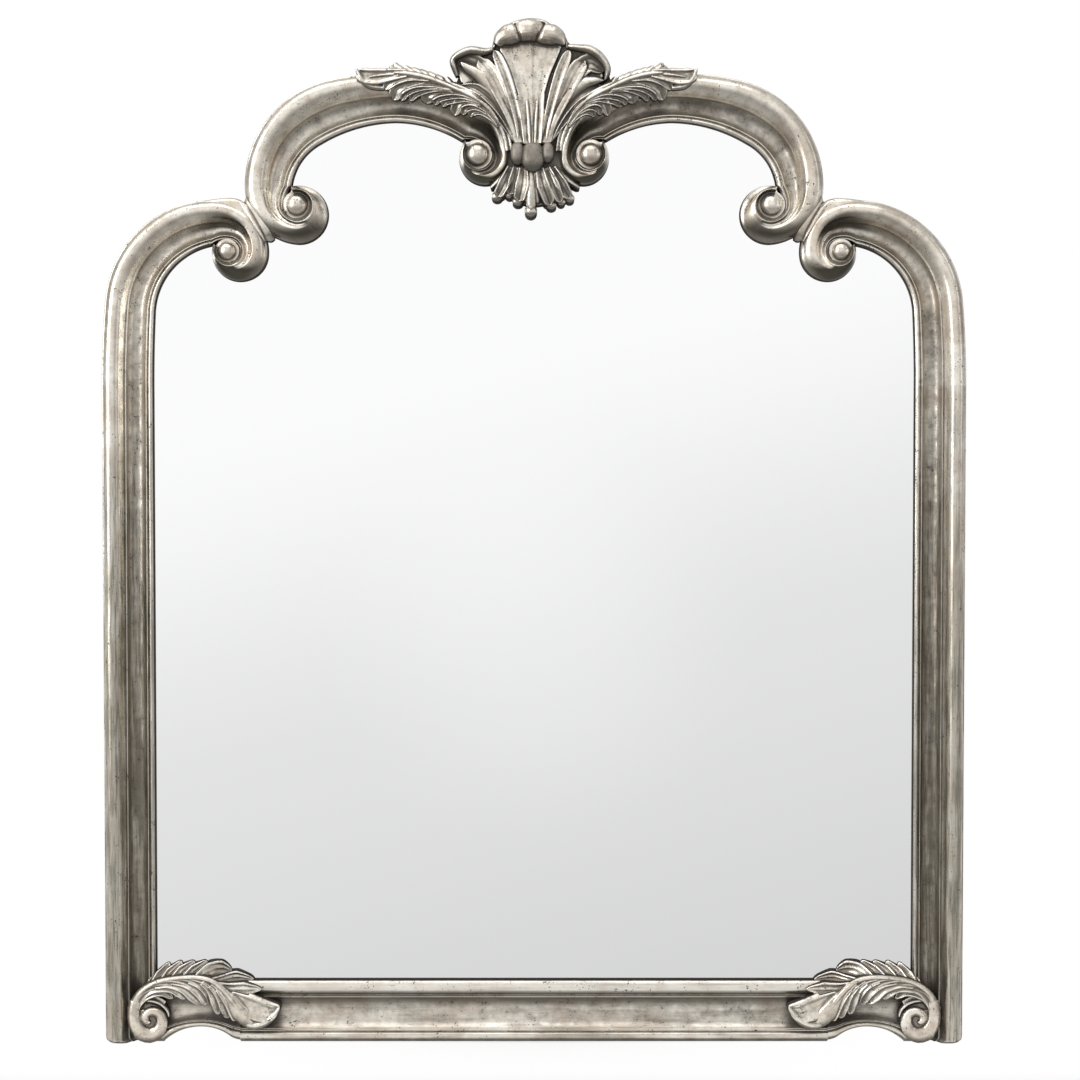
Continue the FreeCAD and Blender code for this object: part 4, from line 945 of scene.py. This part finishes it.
# Leaf and scroll at the lower left corner
cornerDrawing = {
    "left": -543.9, "top": 142.7, "unit": 0.17846, "base": 16.5,
    "beds": [
        ([(335, 430), (410, 365), (500, 310), (620, 300), (740, 300), (850, 300), (900, 325), (1030, 375), (1085, 415),
            (1040, 440), (900, 425), (700, 375), (500, 385)], 12.5, 14.5),
        ([(300, 480), (420, 395), (700, 360), (900, 430), (1000, 620), (900, 600), (830, 560), (740, 490), (640, 460),
            (500, 430), (380, 440)], 16.0, 31.0),
        ([(240, 600), (262, 500), (330, 430), (420, 420), (405, 455), (340, 500), (305, 550), (290, 600)], 16.0, 29.0),
        ([*arcAbout((352, 655), 186, 198.0, 309.6, 24), (400, 600), (352, 655)], 16.0, 28.0),
        ([(890, 430), (1060, 460), (1262, 534), (1235, 585), (1165, 642), (1080, 668), (1000, 640), (940, 560)],
            16.0, 33.0),
    ],
    "strokes": [
        # upper leaflets
        ("trough", [(335, 425, 34), (368, 372, 23), (410, 312, 14.5)], (3, 5, 1.8), 1.5, 12.5),
        ("trough", [(372, 398, 35), (425, 330, 23), (486, 252, 14.5)], (4, 6.5, 2.6), 1.6, 12.5),
        ("veined", [(435, 375, 36), (500, 310, 23), (572, 242, 14.5)], (4, 6.8, 2.8), 1.6, 12.5),
        ("veined", [(510, 358, 37), (582, 300, 23), (662, 242, 14.5)], (4, 7.2, 2.8), 1.6, 12.5),
        ("veined", [(590, 346, 38), (668, 295, 23), (748, 240, 14.5)], (4, 7.2, 2.8), 1.6, 12.5),
        ("veined", [(680, 340, 39), (770, 290, 25), (850, 282, 17.5), (922, 308, 15)], (4, 8, 8.5, 2.6), 1.6, 12.5),
        ("veined", [(790, 355, 39), (870, 352, 29), (960, 343, 20.5), (1080, 368, 17.5)], (4, 5.5, 7, 2.6), 1.5, 12.5),
        ("veined", [(840, 380, 39), (920, 412, 35), (1020, 416, 33), (1143, 422, 29)], (4, 7.5, 8.5, 2.4), 1.8, 18.0),
        # lower leaflets
        ("trough", [(262, 600, 31), (285, 525, 33), (340, 462, 35), (440, 432, 35), (522, 486, 31)],
            (2, 4, 5.4, 6.4, 3.4), 2.4),
        ("trough", [(270, 560, 32), (310, 475, 35), (380, 418, 37), (500, 405, 37), (570, 440, 35), (606, 492, 30)],
            (2, 4, 5, 6, 7, 5), 2.4),
        ("trough", [(400, 394, 38), (500, 378, 39), (600, 405, 38), (665, 462, 35), (718, 522, 30)], (3, 5, 7, 8.4, 6),
            2.6),
        ("trough", [(520, 362, 39), (620, 375, 39), (700, 425, 38), (758, 530, 31)], (3, 5.5, 7.4, 5), 2.6),
        ("trough", [(640, 355, 40), (720, 384, 40), (775, 445, 38), (792, 536, 31)], (3, 5, 6, 4), 2.4),
        ("trough", [(730, 365, 41), (790, 418, 40), (822, 505, 37), (838, 600, 31)], (3, 5, 6.4, 4), 2.6),
        ("trough", [(790, 385, 41), (850, 457, 40), (885, 545, 37), (908, 624, 32)], (3, 5, 6.4, 4.4), 2.6),
        ("trough", [(840, 410, 41), (905, 495, 40), (945, 592, 37), (958, 642, 35)], (3, 5, 5, 3), 2.2),
        # ring round the scroll
        ("ridge", [(222, 640, 33), (238, 565, 32), (285, 520, 31), (350, 505, 31), (420, 524, 31), (470, 570, 30),
            (488, 625, 28)], (5, 4.5, 3.4, 3.0, 3.0, 2.6, 2), 3),
        # cup at the end: belly, inside, lower and upper edge
        ("roll", [(860, 405, 42), (940, 495, 42), (995, 580, 41.5), (1050, 632, 39), (1105, 650, 35)],
            (4, 8, 11, 10, 4), 5.5),
        ("trough", [(930, 450, 38), (1030, 510, 37), (1118, 560, 36.5), (1195, 578, 36.5), (1264, 545, 37)],
            (5, 11, 15.5, 13, 2), 2.4),
        ("ridge", [(1000, 645, 37), (1080, 674, 38), (1170, 650, 39), (1235, 590, 39), (1270, 538, 39)],
            (4, 5, 5, 4, 2), 4),
        ("ridge", [(1055, 455, 37), (1120, 485, 38), (1200, 515, 39), (1272, 534, 39)], (3, 3.2, 3, 2), 3),
        # midrib
        ("ridge", [(236, 620, 34), (246, 540, 36), (275, 470, 37), (335, 406, 40), (430, 358, 41), (560, 334, 42),
            (700, 330, 43), (800, 356, 43.5), (880, 418, 43.5), (940, 490, 43), (985, 560, 42)],
            (6, 5.6, 5, 4, 3.4, 3, 3.2, 3.6, 4.2, 4.6, 3), 3.6),
    ],
}
scrollDrawing = {
    **cornerDrawing, "base": 16.0,
    "beds": [(arcAbout((352, 668), 112, 0.0, 360.0, 32)[:-1], 16.0, 31.5)],
    "strokes": [
        ("ridge", [(256, 500, 36), (248, 570, 37), (256, 655, 37.5), (294, 722, 37.5), (358, 744, 37), (414, 716, 37),
            (440, 660, 37), (430, 602, 37.5), (385, 576, 38.5), (342, 588, 39), (326, 620, 39), (344, 648, 39),
            (368, 644, 38.5)],
            (7, 8, 9, 10, 10, 9, 7.8, 6.6, 5.8, 5.4, 5, 4.4, 3), 4.2),
    ],
}
print("carving the corner leaves")
for label, drawing in (("leaf", cornerDrawing), ("scroll", scrollDrawing)):
    carved = carvedPiece("left_%s_carving" % label, "left_corner_" + label, drawnSolids(drawing), finish=leafBright)
    mirroredPiece(carved, "right_%s_carving" % label, "right_corner_" + label)


# Acanthus leaf on the left arch
acanthusDrawing = {
    "left": -222.8, "top": 1230.1, "unit": 0.13587, "base": 29.0,
    "beds": [([(330, 300), (420, 230), (430, 190), (640, 215), (800, 250), (930, 310), (1080, 400), (1200, 500),
        (1250, 600), (1120, 540), (980, 490), (860, 440), (720, 420), (600, 400), (460, 380)], 29.0, 40.0)],
    "strokes": [
        # small leaflets behind
        *(("ridge", [(*foot, 50), (*middle, 49), (*tip, 46)], (4, 5, end), 4) for foot, middle, tip, end in (
            ((520, 205), (455, 165), (408, 112), 3), ((470, 205), (410, 175), (372, 142), 3),
            ((600, 222), (550, 185), (500, 140), 2.8), ((660, 235), (620, 198), (565, 158), 3),
            ((720, 248), (680, 212), (625, 172), 2.8), ((790, 270), (750, 235), (700, 196), 3.2),
            ((850, 295), (815, 260), (768, 218), 2.8), ((920, 330), (890, 285), (862, 238), 3.2),
            ((980, 360), (955, 322), (925, 285), 2.8))),
        # first group of lower leaflets, beside the volute
        ("trough", [(1310, 640, 46), (1210, 520, 47), (1080, 455, 46), (975, 480, 44), (934, 578, 37)],
            (3, 5, 6.5, 7.5, 6.5), 3.8),
        ("trough", [(1318, 660, 46), (1228, 560, 46), (1120, 505, 45), (1035, 525, 43), (1008, 575, 40)],
            (2.5, 4, 5, 5, 3.6), 3.0),
        ("trough", [(1325, 680, 45), (1250, 600, 45), (1165, 552, 45), (1095, 560, 43), (1072, 592, 40)],
            (2.5, 4, 4.5, 4.4, 3.2), 3.0),
        # second group
        ("trough", [(1150, 450, 48), (990, 380, 49), (830, 370, 47), (718, 408, 44), (688, 468, 37)],
            (3, 5, 7, 8.5, 7.5), 3.8),
        ("trough", [(1160, 468, 48), (1010, 412, 48), (880, 412, 46), (795, 440, 44), (766, 486, 40)],
            (2.5, 4.5, 5.5, 5, 3.6), 3.0),
        ("trough", [(1170, 485, 47), (1045, 442, 47), (940, 445, 45), (865, 465, 44), (832, 500, 41)],
            (2.5, 4, 5, 4.4, 3.2), 3.0),
        # third group
        ("trough", [(900, 338, 50), (740, 305, 50), (580, 300, 48), (450, 350, 45), (404, 440, 38)], (3, 5, 7, 9, 8),
            3.8),
        ("trough", [(912, 352, 50), (765, 328, 49), (630, 335, 47), (520, 380, 45), (476, 445, 41)],
            (2.5, 4.5, 5.5, 5.5, 3.8), 3.0),
        ("trough", [(925, 366, 49), (795, 348, 48), (685, 360, 46), (595, 398, 44), (552, 450, 41)],
            (2.5, 4, 5, 4.6, 3.4), 3.0),
        # last leaflet beside the cup
        ("trough", [(720, 268, 52), (580, 248, 51), (460, 262, 49), (370, 305, 46), (328, 350, 43)], (3, 4.5, 6, 6, 4),
            2.4),
        # cup
        ("trough", [(520, 212, 51), (400, 222, 49), (260, 238, 47), (150, 226, 46), (96, 196, 46)],
            (5, 7.5, 10, 10, 6), 2.4),
        ("ridge", [(320, 335, 46), (200, 318, 47), (132, 264, 49), (82, 162, 50)], (3, 3.6, 3.4, 2), 3),
        ("ridge", [(480, 190, 51), (320, 178, 50), (200, 180, 49), (110, 172, 49)], (3, 2.6, 2.4, 2), 2.4),
        ("ridge", [(430, 216, 51), (310, 224, 50), (195, 238, 48)], (2, 1.6, 1), 1.6),
        # midrib
        ("ridge", [(1400, 900, 42), (1378, 780, 44), (1330, 660, 46), (1265, 560, 49), (1165, 462, 51),
            (1030, 388, 53), (870, 315, 54), (700, 252, 55), (540, 216, 54), (410, 206, 52)],
            (3, 3.2, 3.4, 3.4, 3.2, 3.2, 3.4, 3.6, 3.6, 3), 3),
        ("ridge", [(1440, 900, 41), (1412, 760, 43), (1360, 640, 45), (1290, 530, 48), (1190, 432, 50),
            (1050, 356, 51), (900, 290, 51)], (2, 2.4, 2.6, 2.8, 2.6, 2.4, 1.6), 2.6),
        ("ridge", [(1355, 900, 41), (1335, 790, 43), (1290, 690, 45), (1220, 592, 47), (1130, 510, 48)],
            (2, 2.4, 2.6, 2.8, 2), 2.4),
    ],
}
print("carving the acanthus leaves")
acanthus = carvedPiece("left_acanthus_carving", "left_acanthus", drawnSolids(acanthusDrawing), finish=leafBright)
stretchPiece(mirroredPiece(acanthus, "right_acanthus_carving", "right_acanthus"), 0.935, 30.0)
stretchPiece(acanthus, 1.035, -30.0)

# Shell with its rolled lip
shellDrawing = {
    "left": -108.5, "top": 1274.9, "unit": 0.17407, "base": 32.0,
    "beds": [
        ([(345, 240), (372, 172), (430, 112), (505, 78), (600, 64), (690, 76), (755, 118), (812, 162), (845, 235),
            (905, 255), (1000, 270), (1080, 330), (1110, 440), (1000, 540), (860, 700), (745, 905),
            (497, 905), (380, 720), (250, 560), (110, 480), (90, 400), (70, 335), (110, 300), (180, 275), (270, 280)],
            32.0, 46.0),
        ([(350, 215), (376, 172), (432, 116), (505, 82), (600, 68), (690, 80), (757, 122), (812, 165), (836, 210),
            (740, 175), (600, 150), (440, 175)], 32.0, 55.0),
        ([(430, 420), (780, 420), (835, 560), (742, 905), (500, 905), (380, 600)], 32.0, 48.5),
    ],
    "strokes": [
        # centre of the fan
        ("fan", [(612, 915, 49.6), (607, 700, 50.6), (604, 560, 50.8), (601, 430, 50.5), (600, 340, 49.5),
            (598, 250, 47.5), (596, 150, 46.5)], (11, 15, 16.5, 24, 31, 38.0, 40), 2.6),
        ("ridge", [(594, 915, 51.5), (585, 760, 52.5), (572, 600, 51.5)], (1.4, 1.8, 1.2), 1.6),
        ("ridge", [(630, 915, 51.5), (636, 760, 52.5), (648, 600, 51.5)], (1.4, 1.8, 1.2), 1.6),
        # thin rim over the bulges
        ("ridge", [(338, 250, 50), (350, 200, 52), (376, 158, 54), (432, 104, 56), (505, 68, 57), (600, 54, 58),
            (690, 66, 57), (757, 110, 56), (818, 155, 54), (848, 205, 52), (856, 250, 50)],
            (2, 2.6, 2.6, 2.6, 2.6, 2.6, 2.6, 2.6, 2.6, 2.6, 2), 5),
        # strips beside the fan, split by slots above
        ("trough", [(532, 915, 47), (508, 740, 50), (462, 560, 53), (408, 400, 54), (345, 262, 51)], (3, 5, 6.4, 7, 6),
            1.8),
        ("trough", [(688, 915, 47), (720, 740, 50), (765, 560, 53), (815, 400, 54), (872, 262, 51)], (3, 5, 6.4, 7, 6),
            1.8),
        ("trough", [(514, 915, 46), (462, 740, 49.5), (385, 560, 52), (312, 420, 52.5), (235, 325, 49)],
            (3, 6, 9.5, 11, 9), 2.2),
        ("trough", [(706, 915, 46), (764, 740, 49.5), (845, 560, 52), (912, 420, 52.5), (975, 325, 49)],
            (3, 6, 9.5, 11, 9), 2.2),
        # broad side lobes: a scoop under a curled edge
        ("trough", [(430, 700, 46), (350, 540, 47), (275, 400, 48), (180, 335, 48), (84, 335, 47)], (3, 7, 11, 11, 7),
            4.0),
        ("trough", [(790, 700, 46), (865, 540, 47), (940, 400, 48), (1020, 350, 48), (1112, 405, 46)],
            (3, 7, 12, 13, 7), 4.0),
        ("ridge", [(505, 915, 48), (450, 745, 51), (362, 585, 53), (252, 445, 55), (150, 378, 55), (105, 345, 54)],
            (3, 5.5, 7.5, 8, 5.5, 1.6), 4),
        ("ridge", [(716, 915, 48), (772, 745, 51), (850, 600, 53), (950, 500, 54), (1050, 470, 53), (1115, 470, 50)],
            (3, 5.5, 7.5, 8, 5.5, 1.6), 4),
        # lower tips
        ("trough", [(490, 888, 44), (420, 745, 47), (330, 620, 49), (220, 530, 49), (100, 502, 44)],
            (2.5, 4, 6, 6.5, 2), 3.0),
        ("trough", [(738, 888, 44), (800, 750, 47), (890, 620, 49), (990, 545, 48), (1100, 500, 43)],
            (2.5, 4, 6, 6.5, 2), 3.0),
        ("trough", [(478, 885, 43), (400, 765, 45), (310, 660, 46), (235, 600, 43)], (2, 3.5, 4.5, 2), 2.2),
        ("trough", [(748, 885, 43), (820, 780, 45), (900, 690, 46), (985, 620, 43)], (2, 3.5, 4.5, 2), 2.2),
        # curled edges
        ("ridge", [(82, 440, 50), (62, 380, 55), (52, 330, 57), (100, 290, 60), (180, 264, 61), (270, 272, 59),
            (315, 262, 57), (335, 240, 54)], (2, 3.4, 3.8, 4.4, 5, 4.4, 3.4, 2.4), 5),
        ("ridge", [(862, 232, 55), (890, 238, 57), (940, 246, 59), (1010, 258, 61), (1080, 300, 61), (1128, 360, 59),
            (1142, 410, 57), (1122, 470, 52)], (2.4, 3.4, 4, 5, 5, 4.4, 3.6, 2), 5),
    ],
}
shellLip = {
    "path": [
        (362, 228, 56), (392, 186, 60), (440, 158, 63), (486, 146, 62.5), (508, 139, 60), (532, 132, 63),
        (588, 124, 65.5), (644, 132, 63), (668, 141, 60), (692, 149, 62.5), (752, 158, 63), (802, 184, 60),
        (838, 228, 56)],
    "widths": (5, 10, 12.8, 12.6, 11.4, 12.8, 13.8, 12.8, 11.4, 12.6, 12.8, 10, 5),
    "depth": 9.0, "base": 46.0, "steps": 110,
}
print("carving the shell")
lipPath = onGrid(shellDrawing, shellLip["path"])
rolledLip = stroke("roll", lipPath, shellLip["widths"], shellLip["depth"], shellLip["base"], shellLip["steps"])
carvedPiece("shell_carving", "crest_shell", drawnSolids(shellDrawing) + [rolledLip])

# Beads of the collar
collarDrawing = {"left": -108.8, "top": 1276.4, "unit": 0.17449, "base": 34.5}
collarBeads = [
    ((507, 985), (50, 82), 9.5, 44.5), ((614, 1008), (82, 110), 12.5, 44.5), ((719, 979), (44, 74), 9.5, 44.5)]
carvedPiece("collar_carving", "shell_collar", lobesOn(collarDrawing, collarBeads, 0.88), soften=1, finish=leafShaded)

# Palmette under the collar, with a knob at the tip of most leaves
pendantDrawing = {
    "left": -109.1, "top": 1278.2, "unit": 0.17505, "base": 14.0,
    "beds": [([(430, 1110), (520, 1080), (700, 1080), (790, 1120), (880, 1200), (840, 1290), (740, 1330), (600, 1350),
        (480, 1310), (390, 1260), (380, 1200)], 14.0, 27.0)],
    "strokes": [
        ("ridge", [(450, 1085, 38), (390, 1160, 37), (318, 1225, 33)], (4, 5, 3), 4),
        ("ridge", [(770, 1090, 38), (850, 1165, 37), (945, 1225, 33)], (4, 5, 3), 4),
        ("trough", [(462, 1085, 39), (418, 1190, 40), (366, 1288, 36)], (5, 8, 6.5), 3.4),
        ("trough", [(748, 1090, 39), (812, 1200, 40), (874, 1300, 36)], (5, 8, 6), 3.4),
        ("trough", [(500, 1085, 41), (480, 1180, 42), (452, 1272, 37)], (4.5, 7, 5.5), 3.4),
        ("trough", [(712, 1090, 41), (762, 1210, 42), (812, 1328, 37)], (4.5, 7.5, 5.5), 3.4),
        ("trough", [(550, 1090, 42), (540, 1210, 43), (515, 1322, 37)], (5.5, 9, 7.5), 3.8),
        ("trough", [(662, 1095, 42), (690, 1220, 43), (738, 1348, 37)], (5, 8.5, 7), 3.8),
        ("ridge", [(602, 1090, 44), (602, 1230, 46), (602, 1380, 42)], (4, 6, 6), 3.5),
        ("ridge", [(576, 1095, 44), (570, 1230, 44.5), (572, 1330, 40)], (2, 3, 3), 3.4),
        ("ridge", [(628, 1095, 44), (636, 1230, 44.5), (650, 1335, 40)], (2, 3, 3), 3.4),
    ],
}
pendantKnobs = [
    ((362, 1284), (40, 34), 5.0, 31.0), ((448, 1270), (30, 30), 4.0, 33.0), ((510, 1318), (40, 34), 4.5, 33.0),
    ((601, 1386), (44, 46), 8.0, 33.0), ((745, 1345), (38, 32), 4.5, 33.0), ((815, 1322), (30, 28), 4.0, 33.0),
    ((876, 1298), (34, 30), 4.5, 32.0)]
knobs = lobesOn(pendantDrawing, pendantKnobs, 1.0)
carvedPiece("pendant_carving", "pendant_palmette", drawnSolids(pendantDrawing) + knobs, soften=1)
print("carvings ready")

# CAD parts that stay get their finishes
nodeFinish = {
    mirrorGlass: ["mirror_glass"],
    hardboard: ["backing_board"],
    bareWood: ["rail_tenons", "shoulder_tenons", "arch_tenons", "crest_tenons"],
    steel: ["glazing_points", "left_hanger_strap", "right_hanger_strap", "left_ring", "right_ring"],
    screwSteel: ["hanger_screws", "crest_screws"],
    rubber: ["wall_bumpers"],
    leafDark: ["crest_block"],
}
for finish, nodes in nodeFinish.items():
    for node in nodes:
        dress(node, finish)
print("CAD parts dressed")
